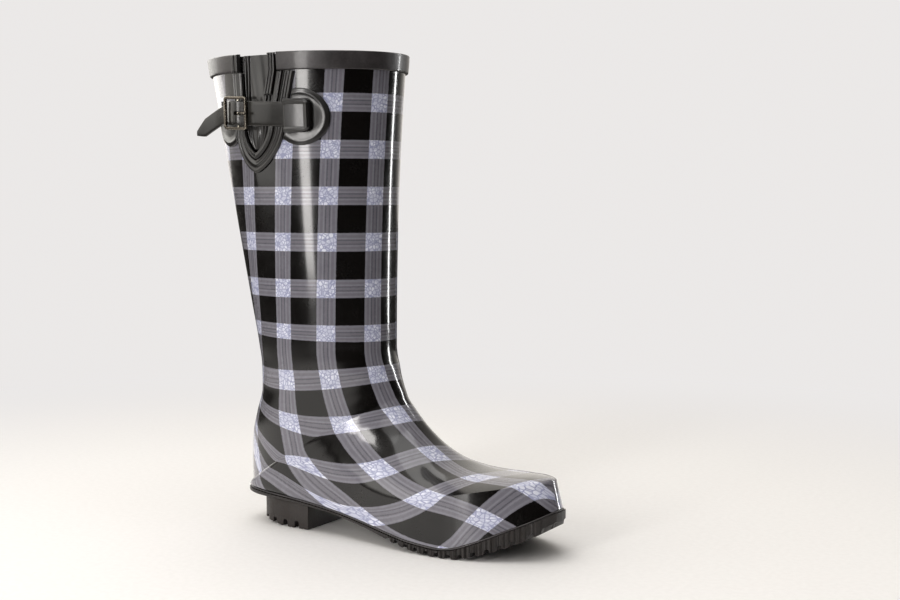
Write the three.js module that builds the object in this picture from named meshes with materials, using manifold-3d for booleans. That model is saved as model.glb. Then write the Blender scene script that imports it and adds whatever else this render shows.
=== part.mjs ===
// A tall rubber rain boot for the right foot, with a side gusset, strap and buckle.
// Millimetres, +Z up. Design frame: back of the heel at X = 0, toe towards +X, the outer side of
// the leg (the buckle's side) towards -Y, floor at Z = 0. The finished group is then moved so that
// the middle of the bottom of its bounding box is the origin.
import * as THREE from 'three';
import { mergeVertices } from 'three/addons/utils/BufferGeometryUtils.js';
import Module from 'manifold-3d';

const wasm = await Module();
wasm.setup();

// ---------------------------------------------------------------- driving dimensions

// Shaft, measured on the outside of the rubber.
const BOOT_HEIGHT = 380.5;
const RIM_FRONT_X = 141;
const RIM_BACK_X = -35;
const RIM_HALF_WIDTH = 60;
const ANKLE_HEIGHT = 150;
const ANKLE_FRONT_X = 131.6;
const ANKLE_BACK_X = 11.6;
const ANKLE_HALF_WIDTH = 47.5;
const SHAFT_FLARE = 2.2;

// Foot: every length along the foot is a share of its length, every breadth a share of its breadth.
const FOOT_LENGTH = 285;
const FOOT_BREADTH = 100;

// Layers of the wall, from the outside in.
const SHELL_WALL = 2.4;
const STIFFENER_WALL = 1.0;
const LINING_WALL = 1.4;
const LAYER_GAP = 0.35;

// Layers under the foot.
const FILLER_THICKNESS = 1.9;
const BOARD_THICKNESS = 2.2;
const FOOTBED_THICKNESS = 4.2;
const INNER_PLAY = 1.2;
const FOOTBED_PLAY = 3.6;
const SHANK_LENGTH = 96;
const SHANK_WIDTH = 14;
const SHANK_THICKNESS = 1.1;
const SHANK_START_X = 66;

// Outsole and heel.
const SOLE_FLANGE = 1.6;
const LUG_DEPTH = 3.2;
const LUG_LENGTH = 5.6;
const LUG_PITCH = 9.4;
const TREAD_START_X = 152;
const TREAD_END_X = 280;
const HEEL_BACK_INSET = 12;
const HEEL_BREAST_X = 72;
const HEEL_SIDE_INSET = 4.4;
const HEEL_BEVEL_START_X = 48;
const HEEL_BEVEL_RISE = 3.6;
const HEEL_GROOVE_WIDTH = 4.4;
const HEEL_GROOVE_DEPTH = 5.5;
const HEEL_GROOVES = 4;
const WELT_THICKNESS = 1.2;
const WELT_PROUD = 0.9;

// Band around the top edge.
const RIM_BAND_HEIGHT = 14;
const RIM_BAND_THICKNESS = 1.9;
const RIM_LIP_THICKNESS = 1.4;
const RIM_EDGE = 0.8;

// Shield-shaped gusset trim on the outer side.
const TRIM_CENTRE_X = 47.5;
const TRIM_HALF_WIDTH = 25.2;
const TRIM_SHOULDER_Z = 325;
const TRIM_TIP_Z = 287.5;
const TRIM_LEAN = 0.11;
const TRIM_FLARE = 0.117;
const TRIM_BAND = 8.2;
const FRONT_ARM_SHARE = 0.56;
const TRIM_THICKNESS = 1.6;
const RIDGE_BAND = 4.6;
const RIDGE_THICKNESS = 2.1;
const WELT_WIDTH = 7;
const FRONT_WELT_THICKNESS = 1.8;
const REAR_CAP_THICKNESS = 4.2;

// Strap and its anchors.
const STRAP_HEIGHT_Z = 335;
const STRAP_PITCH = 0.066;
const STRAP_WIDTH = 19;
const STRAP_THICKNESS = 2.0;
const STRAP_FRONT_X = 89;
const ANCHOR_BACK_X = 74;
const ANCHOR_FRONT_X = 94;
const ANCHOR_WALL = 2.3;
const SLOT_CLEARANCE = 1.2;
const ANCHOR_ROOF = 2;
const FRONT_PATCH = { x: 85, z: 330.5, radius: 22 };
const REAR_PATCH = { x: 12, z: 327, radius: 18 };
const PATCH_THICKNESS = 1.6;
const PRONG_HOLE_START = 0.6;
const PRONG_HOLE_LENGTH = 8.8;
const TAIL_LENGTH = 32;
const TAIL_DROOP = 16;
const TAIL_WIDTH = 14.6;
const TAIL_ROOT_DROP = 1.4;
const TAIL_LIFT = 3.2;
const TAIL_TIP_WIDTH = 6;
const TAIL_TAPER = 9;

// Buckle.
const BUCKLE_X = 31;
const BUCKLE_WIDTH = 23.4;
const BUCKLE_HEIGHT = 26;
const BUCKLE_BAR = 2.2;
const BUCKLE_PLAY = 1.0;
const PIN_RADIUS = 1.0;
const TAB_THICKNESS = 1.2;
const TAB_WIDTH = 17;
const PRONG_WIDTH = 2.4;
const PRONG_THICKNESS = 1.4;
const RING_WALL = 1.2;

const BACK_STAY_WIDTH = 7;
const BACK_STAY_THICKNESS = 0.9;

// Room left between the buckle and what it holds, and how far a cutting tool overshoots.
const RUN_GAP = 0.3;
const PIECE_GAP = 0.5;
const OVERCUT = 3;

// Quarter of a shaft section is divided into this many flats.
const SIDE_STEPS = 6;

// ---------------------------------------------------------------- small helpers

const lerp = (a, b, t) => a + (b - a) * t;
const clamp01 = (t) => Math.min(1, Math.max(0, t));
const smooth = (t) => clamp01(t) ** 2 * (3 - 2 * clamp01(t));

// How far an edge moves in for a depth: the depth itself, fading out where the half breadth ends.
const narrowing = (depth, breadth) => (depth * breadth) / (Math.abs(breadth) + Math.abs(depth) + 1e-6);

// Value at x on a smooth curve through [x, value] points.
function curveValue(points, x) {
  const last = points.length - 1;
  if (x <= points[0][0]) return points[0][1];
  if (x >= points[last][0]) return points[last][1];
  const i = points.findIndex((point) => point[0] > x) - 1;
  const slope = (a, b) => (points[b][1] - points[a][1]) / (points[b][0] - points[a][0]);
  const here = slope(i, i + 1);
  const before = i > 0 ? slope(i - 1, i) : here;
  const after = i + 2 <= last ? slope(i + 1, i + 2) : here;
  const tangent = (a, b) => (a * b <= 0 ? 0 : (2 * a * b) / (a + b));
  const startTangent = i > 0 ? tangent(before, here) : here;
  const endTangent = i + 2 <= last ? tangent(here, after) : here;
  const width = points[i + 1][0] - points[i][0];
  const t = (x - points[i][0]) / width;
  const keep = 2 * t ** 3 - 3 * t ** 2 + 1;
  return keep * points[i][1] + (1 - keep) * points[i + 1][1]
    + (t ** 3 - 2 * t ** 2 + t) * width * startTangent + (t ** 3 - t ** 2) * width * endTangent;
}

// ---------------------------------------------------------------- closed solids

// Collects points and faces, joins points that coincide and turns the faces outwards.
class SolidBuilder {
  constructor() {
    this.points = [];
    this.keys = new Map();
    this.faces = [];
  }

  add(point) {
    const key = point.toArray().map((value) => Math.round(value * 1e4)).join();
    if (!this.keys.has(key)) {
      this.keys.set(key, this.points.length);
      this.points.push(point.clone());
    }
    return this.keys.get(key);
  }

  triangle(a, b, c) {
    const ids = [this.add(a), this.add(b), this.add(c)];
    if (new Set(ids).size === 3) this.faces.push(ids);
  }

  quad(a, b, c, d) {
    this.triangle(a, b, c);
    this.triangle(a, c, d);
  }

  geometry() {
    let volume = 0;
    for (const [a, b, c] of this.faces) {
      const cross = new THREE.Vector3().crossVectors(this.points[b], this.points[c]);
      volume += this.points[a].dot(cross);
    }
    const geometry = new THREE.BufferGeometry();
    const positions = this.points.flatMap((point) => point.toArray());
    geometry.setAttribute('position', new THREE.Float32BufferAttribute(positions, 3));
    geometry.setIndex(this.faces.flatMap((ids) => (volume < 0 ? [ids[0], ids[2], ids[1]] : ids)));
    return geometry;
  }
}

// A sheet with thickness between two matching grids of points. A grid may close on itself or
// narrow to nothing where its end wall is left out.
function sheetSolid(outer, inner, { startWall = true, endWall = true, sidesFrom = 0 } = {}) {
  const solid = new SolidBuilder();
  const rows = outer.length;
  const columns = outer[0].length;
  for (let i = 0; i < rows - 1; i += 1) {
    for (let j = 0; j < columns - 1; j += 1) {
      solid.quad(outer[i][j], outer[i + 1][j], outer[i + 1][j + 1], outer[i][j + 1]);
      solid.quad(inner[i][j], inner[i][j + 1], inner[i + 1][j + 1], inner[i + 1][j]);
    }
  }
  for (let j = 0; j < columns - 1; j += 1) {
    if (startWall) solid.quad(outer[0][j], outer[0][j + 1], inner[0][j + 1], inner[0][j]);
    const end = rows - 1;
    if (endWall) solid.quad(outer[end][j + 1], outer[end][j], inner[end][j], inner[end][j + 1]);
  }
  const edge = columns - 1;
  for (let i = sidesFrom; i < rows - 1; i += 1) {
    solid.quad(outer[i + 1][0], outer[i][0], inner[i][0], inner[i + 1][0]);
    solid.quad(outer[i][edge], outer[i + 1][edge], inner[i + 1][edge], inner[i][edge]);
  }
  return solid.geometry();
}

// A solid swept through matching closed loops of points, with flat ends.
function sweptSolid(loops) {
  const solid = new SolidBuilder();
  const count = loops[0].length;
  for (let i = 0; i < loops.length - 1; i += 1) {
    for (let j = 0; j < count; j += 1) {
      const next = (j + 1) % count;
      solid.quad(loops[i][j], loops[i + 1][j], loops[i + 1][next], loops[i][next]);
    }
  }
  const first = loops[0];
  const final = loops[loops.length - 1];
  for (const [a, b, c] of capTriangles(first)) {
    solid.triangle(first[a], first[b], first[c]);
    solid.triangle(final[a], final[c], final[b]);
  }
  return solid.geometry();
}

// Triangles across a loop, wound to face away from the sweep's first span.
function capTriangles(loop) {
  const centre = loop.reduce((sum, point) => sum.add(point), new THREE.Vector3()).divideScalar(loop.length);
  const axisU = loop[0].clone().sub(centre).normalize();
  const normal = new THREE.Vector3();
  for (let j = 0; j < loop.length; j += 1) {
    const next = loop[(j + 1) % loop.length];
    normal.add(loop[j].clone().sub(centre).cross(next.clone().sub(centre)));
  }
  normal.normalize();
  const axisV = normal.clone().cross(axisU);
  const flat = loop.map((point) => {
    const offset = point.clone().sub(centre);
    return new THREE.Vector2(offset.dot(axisU), offset.dot(axisV));
  });
  return THREE.ShapeUtils.triangulateShape(flat, []);
}

function toManifold(geometry) {
  const bare = new THREE.BufferGeometry();
  bare.setAttribute('position', geometry.getAttribute('position').clone());
  if (geometry.index) bare.setIndex(geometry.index.clone());
  const merged = mergeVertices(bare, 1e-4);
  return new wasm.Manifold(new wasm.Mesh({
    numProp: 3,
    vertProperties: new Float32Array(merged.getAttribute('position').array),
    triVerts: new Uint32Array(merged.index.array),
  }));
}

function fromManifold(body) {
  const mesh = body.getMesh();
  const geometry = new THREE.BufferGeometry();
  geometry.setAttribute('position', new THREE.Float32BufferAttribute(mesh.vertProperties, 3));
  geometry.setIndex(Array.from(mesh.triVerts));
  return geometry;
}

function cut(geometry, tools) {
  return fromManifold(tools.reduce((body, tool) => body.subtract(toManifold(tool)), toManifold(geometry)));
}

function join(geometries) {
  return fromManifold(geometries.map(toManifold).reduce((body, part) => body.add(part)));
}

// A box given by its lowest and highest corners.
function boxBetween(low, high) {
  const geometry = new THREE.BoxGeometry(high[0] - low[0], high[1] - low[1], high[2] - low[2]);
  return geometry.translate((low[0] + high[0]) / 2, (low[1] + high[1]) / 2, (low[2] + high[2]) / 2);
}

// ---------------------------------------------------------------- the shape of the boot

// The shaft's outline at a height: front, back and half width.
function shaftAt(z) {
  const t = (z - ANKLE_HEIGHT) / (BOOT_HEIGHT - ANKLE_HEIGHT);
  const front = ANKLE_FRONT_X + (RIM_FRONT_X - ANKLE_FRONT_X) * Math.max(0, t) ** SHAFT_FLARE;
  const back = lerp(ANKLE_BACK_X, RIM_BACK_X, t);
  const half = lerp(ANKLE_HALF_WIDTH, RIM_HALF_WIDTH, t);
  return { centre: (front + back) / 2, length: (front - back) / 2, half };
}

// Cross-sections of the foot, from the ankle down the heel and forward to the toe. Each is cut by a
// plane that leans from level at the ankle to upright at the ball. Shares are of the foot's length
// (front x, edge x) and half breadth (sides and edges); heights are in mm. "wide" is how far down
// the section its widest place lies, "round" is 2 for a round underside and 1 for a straight wall.
const SECTION_FIELDS = [
  'frontX', 'frontZ', 'edgeX', 'edgeZ', 'wide', 'outer', 'inner', 'outerEdge', 'innerEdge', 'crest', 'round',
];
const FOOT_SECTIONS = [
  [0.4655, 141.5, 0.0500, 130.0, 0.50, 0.930, 0.930, 0, 0, 0, 2],
  [0.4750, 134.2, 0.0470, 110.0, 0.50, 0.890, 0.890, 0, 0, 0, 2],
  [0.4820, 127.8, 0.0235, 90.0, 0.50, 0.850, 0.850, 0, 0, 0.01, 2],
  [0.4900, 121.8, 0.0053, 70.0, 0.50, 0.825, 0.810, 0, 0, 0.02, 2],
  [0.4980, 116.2, 0.0000, 50.0, 0.50, 0.800, 0.775, 0, 0, 0.03, 2],
  [0.5060, 110.8, 0.0000, 29.0, 0.50, 0.785, 0.755, 0, 0, 0.04, 2],
  [0.5090, 109.2, 0.0120, 29.0, 0.50, 0.785, 0.750, 0.26, 0.26, 0.04, 2],
  [0.5130, 107.4, 0.0330, 29.0, 0.50, 0.780, 0.740, 0.42, 0.42, 0.04, 2],
  [0.5190, 104.8, 0.0720, 28.9, 0.51, 0.775, 0.730, 0.56, 0.55, 0.05, 1.9],
  [0.5270, 101.8, 0.1280, 28.0, 0.53, 0.770, 0.720, 0.64, 0.62, 0.06, 1.8],
  [0.5370, 98.2, 0.1960, 26.6, 0.56, 0.770, 0.710, 0.67, 0.64, 0.06, 1.6],
  [0.5510, 93.4, 0.2800, 24.0, 0.60, 0.780, 0.690, 0.69, 0.60, 0.07, 1.4],
  [0.5710, 87.2, 0.3680, 20.6, 0.62, 0.800, 0.665, 0.72, 0.56, 0.08, 1.3],
  [0.6010, 79.2, 0.4560, 16.8, 0.62, 0.860, 0.670, 0.80, 0.58, 0.09, 1.2],
  [0.6390, 71.2, 0.5440, 12.6, 0.57, 0.920, 0.730, 0.90, 0.68, 0.08, 1.1],
  [0.6830, 64.4, 0.6320, 8.8, 0.43, 0.960, 0.820, 0.985, 0.83, 0.07, 1],
  [0.7330, 60.4, 0.7190, 7.0, 0.29, 0.950, 0.880, 1.010, 0.95, 0.06, 1],
  [0.7600, 59.3, 0.7600, 8.2, 0.24, 0.925, 0.870, 0.995, 0.96, 0.05, 1],
  [0.8000, 58.6, 0.8000, 11.8, 0.20, 0.880, 0.820, 0.955, 0.92, 0.03, 1],
  [0.8420, 58.5, 0.8420, 16.5, 0.165, 0.805, 0.730, 0.885, 0.83, 0, 1],
  [0.8820, 58.7, 0.8840, 21.8, 0.14, 0.700, 0.590, 0.780, 0.70, -0.03, 1],
  [0.9160, 59.0, 0.9200, 26.2, 0.11, 0.590, 0.440, 0.670, 0.56, -0.06, 1],
  [0.9430, 59.0, 0.9490, 29.8, 0.10, 0.475, 0.300, 0.560, 0.42, -0.08, 1],
  [0.9620, 58.9, 0.9710, 32.8, 0.10, 0.370, 0.180, 0.445, 0.29, -0.09, 1],
  [0.9735, 58.6, 0.9865, 35.0, 0.10, 0.270, 0.080, 0.330, 0.165, -0.10, 1],
  [0.9795, 58.2, 0.9960, 36.1, 0.10, 0.185, -0.010, 0.220, 0.040, -0.10, 1],
  [0.9820, 58.0, 1.0000, 36.6, 0.10, 0.100, -0.100, 0.100, -0.100, -0.10, 1],
];
const SHAFT_ROWS = [0, 0.16, 0.34, 0.52, 0.70, 0.86, 1];
const HEEL_ROW = SHAFT_ROWS.length + 5;
const LAST_ROW = SHAFT_ROWS.length + FOOT_SECTIONS.length - 1;
const SHELL_TOP_Z = BOOT_HEIGHT - RIM_LIP_THICKNESS - LAYER_GAP;

function footSection(values) {
  const section = Object.fromEntries(SECTION_FIELDS.map((field, k) => [field, values[k]]));
  for (const field of ['frontX', 'edgeX']) section[field] *= FOOT_LENGTH;
  for (const field of ['outer', 'inner', 'outerEdge', 'innerEdge', 'crest']) {
    section[field] *= FOOT_BREADTH / 2;
  }
  return section;
}

function shaftSection(z) {
  const { centre, length, half } = shaftAt(z);
  return {
    frontX: centre + length, frontZ: z, edgeX: centre - length, edgeZ: z, wide: 0.5,
    outer: half, inner: half, outerEdge: 0, innerEdge: 0, crest: 0, round: 2,
  };
}

// Every cross-section of the boot's outside, from the top edge down to the tip of the toe.
const sections = [
  ...SHAFT_ROWS.map((t) => shaftSection(lerp(SHELL_TOP_Z, ANKLE_HEIGHT, t))),
  ...FOOT_SECTIONS.map(footSection),
];

// Unit normal of the front line, pointing into the boot, at a row.
function frontInward(index) {
  const a = sections[Math.max(0, index - 1)];
  const b = sections[Math.min(LAST_ROW, index + 1)];
  const along = new THREE.Vector2(b.frontX - a.frontX, b.frontZ - a.frontZ).normalize();
  return new THREE.Vector2(along.y, -along.x);
}

// A cross-section moved inwards by a depth, with its lower edge raised by a lift.
function insetSection(index, depth, lift = 0) {
  const section = { ...sections[index] };
  const inward = frontInward(index);
  section.frontX += inward.x * depth;
  section.frontZ += inward.y * depth;
  section.edgeX += depth * (1 - 2 * clamp01(section.edgeX / FOOT_LENGTH));
  section.edgeZ += lift;
  const edgeInset = narrowing(depth, (section.outerEdge + section.innerEdge) / 2);
  const sideInset = narrowing(depth, (section.outer + section.inner) / 2);
  section.outer -= sideInset;
  section.inner -= sideInset;
  section.outerEdge -= edgeInset;
  section.innerEdge -= edgeInset;
  return section;
}

// A point on a cross-section: share runs from 0 at the front or top line to 1 at the lower edge,
// negative on the outer side.
function sectionPoint(section, share) {
  const outerSide = share < 0;
  const reach = Math.abs(share);
  const side = outerSide ? -section.outer : section.inner;
  const edge = outerSide ? -section.outerEdge : section.innerEdge;
  let y = 0;
  let drop = 0;
  if (reach <= 0.5) {
    const angle = reach * Math.PI;
    y = lerp(section.crest, side, Math.sin(angle));
    drop = section.wide * (1 - Math.cos(angle));
  } else {
    const angle = (reach - 0.5) * Math.PI;
    y = lerp(edge, side, Math.max(0, Math.cos(angle)) ** (2 / section.round));
    drop = lerp(section.wide, 1, Math.sin(angle) ** (2 / section.round));
  }
  const x = lerp(section.frontX, section.edgeX, drop);
  return new THREE.Vector3(x, y, lerp(section.frontZ, section.edgeZ, drop));
}

function range(from, to, steps) {
  return Array.from({ length: steps + 1 }, (_, k) => lerp(from, to, k / steps));
}

// The share of a section's wall that ends at a lift above its lower edge, by halving.
function shareAtLift(section, side, lift) {
  let low = 0.5;
  let high = 1;
  for (let k = 0; k < 24; k += 1) {
    const middle = (low + high) / 2;
    if (sectionPoint(section, side * middle).z > section.edgeZ + lift) low = middle;
    else high = middle;
  }
  return low;
}

// Grid of points over rows and shares of the wall, at a depth that may change from row to row. With
// a lift the wall stops that far above the feather line.
function wallGrid(rows, shares, depthAt, lift = 0) {
  return rows.map((row) => {
    const section = insetSection(row, depthAt(row), row === HEEL_ROW ? lift : 0);
    const ends = [-1, 1].map((side) => (row > HEEL_ROW ? shareAtLift(section, side, lift) : 1));
    return shares.map((share) => {
      const end = ends[share < 0 ? 0 : 1];
      return sectionPoint(section, share * end);
    });
  });
}

const allRows = range(0, LAST_ROW, LAST_ROW);
const allShares = range(1, -1, SIDE_STEPS * 4);
const SHARE_STEP = 1 / (SIDE_STEPS * 2);

// ---------------------------------------------------------------- the outline under the foot

const featherLine = sections.slice(HEEL_ROW);
const edgeCurve = (field) => featherLine.map((section) => [section.edgeX, section[field]]);
const featherCurve = edgeCurve('edgeZ');
const outerCurve = edgeCurve('outerEdge');
const innerCurve = edgeCurve('innerEdge');
const featherZ = (x) => curveValue(featherCurve, x);

// The walking surface: height of the underside of the sole along the foot, as [share, mm].
const TREAD_LINE = [
  [0.00, 24.8], [0.21, 22.6], [0.27, 20.6], [0.35, 18.0], [0.40, 15.4], [0.48, 11.4], [0.55, 7.0],
  [0.605, 3.6], [0.67, 0.9], [0.73, 0], [0.76, 0], [0.83, 3.8], [0.90, 10.4], [0.96, 18.0], [1, 24.5],
].map(([share, z]) => [share * FOOT_LENGTH, z]);
const treadZ = (x) => curveValue(TREAD_LINE, x);

// Edges of the foot's outline at a station, moved inwards by a depth (outwards when negative).
function outlineAt(x, depth) {
  const along = ((x - depth) / (FOOT_LENGTH - 2 * depth)) * FOOT_LENGTH;
  const outer = curveValue(outerCurve, along);
  const inner = curveValue(innerCurve, along);
  const breadth = (outer + inner) / 2;
  const inset = narrowing(depth, breadth);
  return { outer: -(outer - inset), inner: inner - inset };
}

// A slab that follows the foot's outline between two heights that may change along the foot.
function soleSlab({ depth, fromX, toX, lowZ, highZ, steps }) {
  const heel = depth;
  const toe = FOOT_LENGTH - depth;
  const start = Math.max(fromX, heel);
  const end = Math.min(toX, toe);
  const stations = range(0, 1, steps).map((t) => lerp(start, end, t));
  const closeUp = [0.02, 0.08, 0.2, 0.45];
  const firstStep = stations[1] - stations[0];
  if (start === heel) stations.splice(1, 0, ...closeUp.map((t) => start + t * firstStep));
  if (end === toe) {
    stations.splice(stations.length - 1, 0, ...closeUp.map((t) => end - t * firstStep).reverse());
  }
  const grid = (heightAt) => stations.map((x) => {
    const { outer, inner } = outlineAt(x, depth);
    return range(0, 1, 2).map((t) => new THREE.Vector3(x, lerp(outer, inner, t), heightAt(x)));
  });
  return sheetSolid(grid(highZ), grid(lowZ));
}

// ---------------------------------------------------------------- places on the shaft

// The point on the shaft's outer side above station x at height z, raised by a height.
function onShaft(x, z, height) {
  const field = (px, py, pz) => {
    const { centre, length, half } = shaftAt(pz);
    return ((px - centre) / length) ** 2 + (py / half) ** 2;
  };
  const { centre, length, half } = shaftAt(z);
  const y = -half * Math.sqrt(Math.max(0, 1 - ((x - centre) / length) ** 2));
  const step = 0.01;
  const normal = new THREE.Vector3(
    field(x + step, y, z) - field(x - step, y, z),
    field(x, y + step, z) - field(x, y - step, z),
    field(x, y, z + step) - field(x, y, z - step),
  ).normalize();
  return new THREE.Vector3(x, y, z).addScaledVector(normal, height);
}

// A thin piece lying on the shaft: columns of stations from a row function at each height.
function shaftPiece({ heights, stationsAt, low, high }) {
  const grid = (height) => heights.map((z) => stationsAt(z).map((x) => onShaft(x, z, height)));
  return sheetSolid(grid(high), grid(low));
}

// Half width of the gusset's shield shape at a height, made smaller by an inset.
function shieldHalf(z, inset) {
  const half = TRIM_HALF_WIDTH - inset;
  const drop = clamp01((TRIM_SHOULDER_Z - z) / (TRIM_SHOULDER_Z - shieldTip(inset)));
  return half * (1 - drop ** 2) ** 0.7 + TRIM_FLARE * Math.max(0, z - TRIM_SHOULDER_Z);
}

const shieldTip = (inset) => TRIM_TIP_Z + inset * 1.25;

// The shield's middle line leans, and an inset takes more from the front arm than from the rear.
const shieldMiddle = (z, inset = 0) => (
  TRIM_CENTRE_X + TRIM_LEAN * (z - TRIM_SHOULDER_Z) - (FRONT_ARM_SHARE * 2 - 1) * inset);

// Outline of the shield from its upper left, round the tip, to its upper right, as [x, z] pairs.
function shieldPath(inset, topZ) {
  const side = [
    ...range(0, 1, 3).map((t) => lerp(topZ, TRIM_SHOULDER_Z, t)),
    ...range(0, Math.PI / 2, 9).slice(1)
      .map((angle) => lerp(TRIM_SHOULDER_Z, shieldTip(inset), Math.sin(angle))),
  ].map((z) => [shieldHalf(z, inset), z]);
  const left = side.map(([half, z]) => [shieldMiddle(z, inset) - half, z]);
  const right = side.slice(0, -1).reverse().map(([half, z]) => [shieldMiddle(z, inset) + half, z]);
  return [...left, ...right];
}

// A band of even width that follows the shield.
function shieldBand({ inset, band, topZ, low, high }) {
  const outside = shieldPath(inset, topZ);
  const inside = shieldPath(inset + band, topZ);
  const grid = (height) => outside.map(([x, z], k) => range(0, 1, 2).map((t) => (
    onShaft(lerp(x, inside[k][0], t), lerp(z, inside[k][1], t), height))));
  return sheetSolid(grid(high), grid(low));
}

// The buckle's own frame on the shaft: X along the strap to the front, Y up, Z out of the leg.
function buckleFrame() {
  const origin = onShaft(BUCKLE_X, STRAP_HEIGHT_Z, 0);
  const out = onShaft(BUCKLE_X, STRAP_HEIGHT_Z, 1).sub(origin);
  const front = new THREE.Vector3(0, 0, 1).cross(out).negate().normalize();
  if (front.x < 0) front.negate();
  const up = out.clone().cross(front);
  front.addScaledVector(up, -STRAP_PITCH).normalize();
  up.crossVectors(out, front);
  return new THREE.Matrix4().makeBasis(front, up, out).setPosition(origin);
}

// The height of the strap's middle line at a station: it slopes down towards the front.
const strapZ = (x) => STRAP_HEIGHT_Z - (x - BUCKLE_X) * STRAP_PITCH;

const strapFrame = buckleFrame();
const strapFrameInverse = strapFrame.clone().invert();

// ---------------------------------------------------------------- heights above the rubber

const SURFACE = 0.4;
const TRIM_TOP = SURFACE + TRIM_THICKNESS;
const TAB_LOW = SURFACE + RIDGE_THICKNESS + RUN_GAP + 0.1;
const PIN_HEIGHT = TAB_LOW + TAB_THICKNESS + RUN_GAP + PIN_RADIUS;
const TAB_TOP = PIN_HEIGHT + PIN_RADIUS + RUN_GAP + TAB_THICKNESS;
const STRAP_REST = SURFACE + RIDGE_THICKNESS + 0.5 + STRAP_THICKNESS / 2;
const STRAP_CREST = TAB_TOP + RUN_GAP + 0.1 + STRAP_THICKNESS / 2;
const STRAP_REAR = TAB_LOW + TAB_THICKNESS * 2 + RUN_GAP * 2 + STRAP_THICKNESS / 2;
const barHeight = (strapHeight) => strapHeight + STRAP_THICKNESS / 2 + BUCKLE_PLAY + BUCKLE_BAR / 2;
const FRONT_BAR_HEIGHT = barHeight(STRAP_REST);
const REAR_BAR_HEIGHT = barHeight(STRAP_REAR);
const RAIL_MIDDLE_HEIGHT = (FRONT_BAR_HEIGHT + REAR_BAR_HEIGHT) / 2;
const BAR_REACH = BUCKLE_WIDTH / 2 - BUCKLE_BAR / 2;
const TAIL_HINGE = -(BUCKLE_WIDTH / 2 + 3);

// ---------------------------------------------------------------- upper

function upperShell() {
  const outer = wallGrid(allRows, allShares, () => 0);
  const inner = wallGrid(allRows, allShares, () => SHELL_WALL);
  const wall = sheetSolid(outer, inner, { endWall: false, sidesFrom: HEEL_ROW });
  return cut(wall, [gussetOpening()]);
}

// The slot that the gusset panel closes, cut through the shell from its top edge.
function gussetOpening() {
  const path = shieldPath(openingInset, BOOT_HEIGHT + OVERCUT);
  const outline = new THREE.Shape(path.map(([x, z]) => new THREE.Vector2(x, z)));
  const depth = TRIM_HALF_WIDTH;
  const prism = new THREE.ExtrudeGeometry(outline, { depth, bevelEnabled: false });
  prism.rotateX(Math.PI / 2);
  return prism.translate(0, depth - RIM_HALF_WIDTH - OVERCUT, 0);
}

// Depth of the lining's outside: close to the shell on the shaft, further in on the foot, where
// the heel counter and the toe puff lie between them.
function liningDepth(row) {
  const footward = smooth((row - SHAFT_ROWS.length + 2) / 3);
  return SHELL_WALL + LAYER_GAP + footward * (STIFFENER_WALL + LAYER_GAP * 1.6);
}

const BOARD_LIFT = LAYER_GAP * 2 + FILLER_THICKNESS + BOARD_THICKNESS;

function lining() {
  const lift = BOARD_LIFT + LAYER_GAP;
  const outer = wallGrid(allRows, allShares, liningDepth, lift);
  const inner = wallGrid(allRows, allShares, (row) => liningDepth(row) + LINING_WALL, lift);
  return sheetSolid(outer, inner, { endWall: false, sidesFrom: HEEL_ROW });
}

function heelCounter() {
  const rows = range(HEEL_ROW - 3, HEEL_ROW, 3);
  const nearEnd = 1 - 5 * SHARE_STEP;
  const shares = [...range(-nearEnd, -1, 5), ...range(1, nearEnd, 5).slice(1)];
  const depth = SHELL_WALL + LAYER_GAP;
  const lift = LAYER_GAP + BOARD_LIFT;
  const outer = wallGrid(rows, shares, () => depth, lift);
  const inner = wallGrid(rows, shares, () => depth + STIFFENER_WALL, lift);
  return sheetSolid(outer, inner);
}

function toePuff() {
  const rows = allRows.slice(LAST_ROW - 8);
  const reach = 1 - 2 * SHARE_STEP;
  const shares = range(reach, -reach, (SIDE_STEPS * 2 - 2) * 2);
  const depth = SHELL_WALL + LAYER_GAP;
  const outer = wallGrid(rows, shares, () => depth);
  const inner = wallGrid(rows, shares, () => depth + STIFFENER_WALL);
  return sheetSolid(outer, inner, { endWall: false });
}

// A thin strip laid between the shell's lower edge and the outsole, a little proud of the wall.
function soleWelt() {
  const between = {
    lowZ: (x) => featherZ(x) - LAYER_GAP - WELT_THICKNESS,
    highZ: (x) => featherZ(x) - LAYER_GAP,
  };
  const whole = soleSlab({
    ...between, fromX: -WELT_PROUD, toX: FOOT_LENGTH + WELT_PROUD, depth: -WELT_PROUD, steps: 26,
  });
  const hole = soleSlab({
    fromX: 0, toX: FOOT_LENGTH, depth: SHELL_WALL * 2, steps: 26,
    lowZ: (x) => between.lowZ(x) - 1,
    highZ: (x) => between.highZ(x) + 1,
  });
  return cut(whole, [hole]);
}

// A raised seam down the back, from under the rim band to the heel.
function backStay() {
  const rows = allRows.filter((row) => row <= HEEL_ROW);
  const low = LAYER_GAP;
  const layer = (depth) => rows.map((row) => {
    const section = insetSection(row, -depth);
    if (row === 0) section.edgeZ = section.edgeZ - RIM_BAND_HEIGHT - 1;
    if (row === HEEL_ROW) section.edgeZ += 1;
    const half = BACK_STAY_WIDTH / 2;
    return range(-half, half, 2).map((y) => new THREE.Vector3(section.edgeX, y, section.edgeZ));
  });
  return sheetSolid(layer(low + BACK_STAY_THICKNESS), layer(low));
}

// ---------------------------------------------------------------- inside the foot

const WALL_INSET = SHELL_WALL + LAYER_GAP + INNER_PLAY;
const fullLength = { fromX: 0, toX: FOOT_LENGTH };

function shankBar(margin) {
  const lift = LAYER_GAP - margin;
  const stations = range(SHANK_START_X - margin, SHANK_START_X + SHANK_LENGTH + margin, 10);
  const half = SHANK_WIDTH / 2 + margin;
  const grid = (rise) => stations.map((x) => (
    [-half, half].map((y) => new THREE.Vector3(x, y, featherZ(x) + rise))));
  return sheetSolid(grid(lift + SHANK_THICKNESS + 2 * margin), grid(lift));
}

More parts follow.
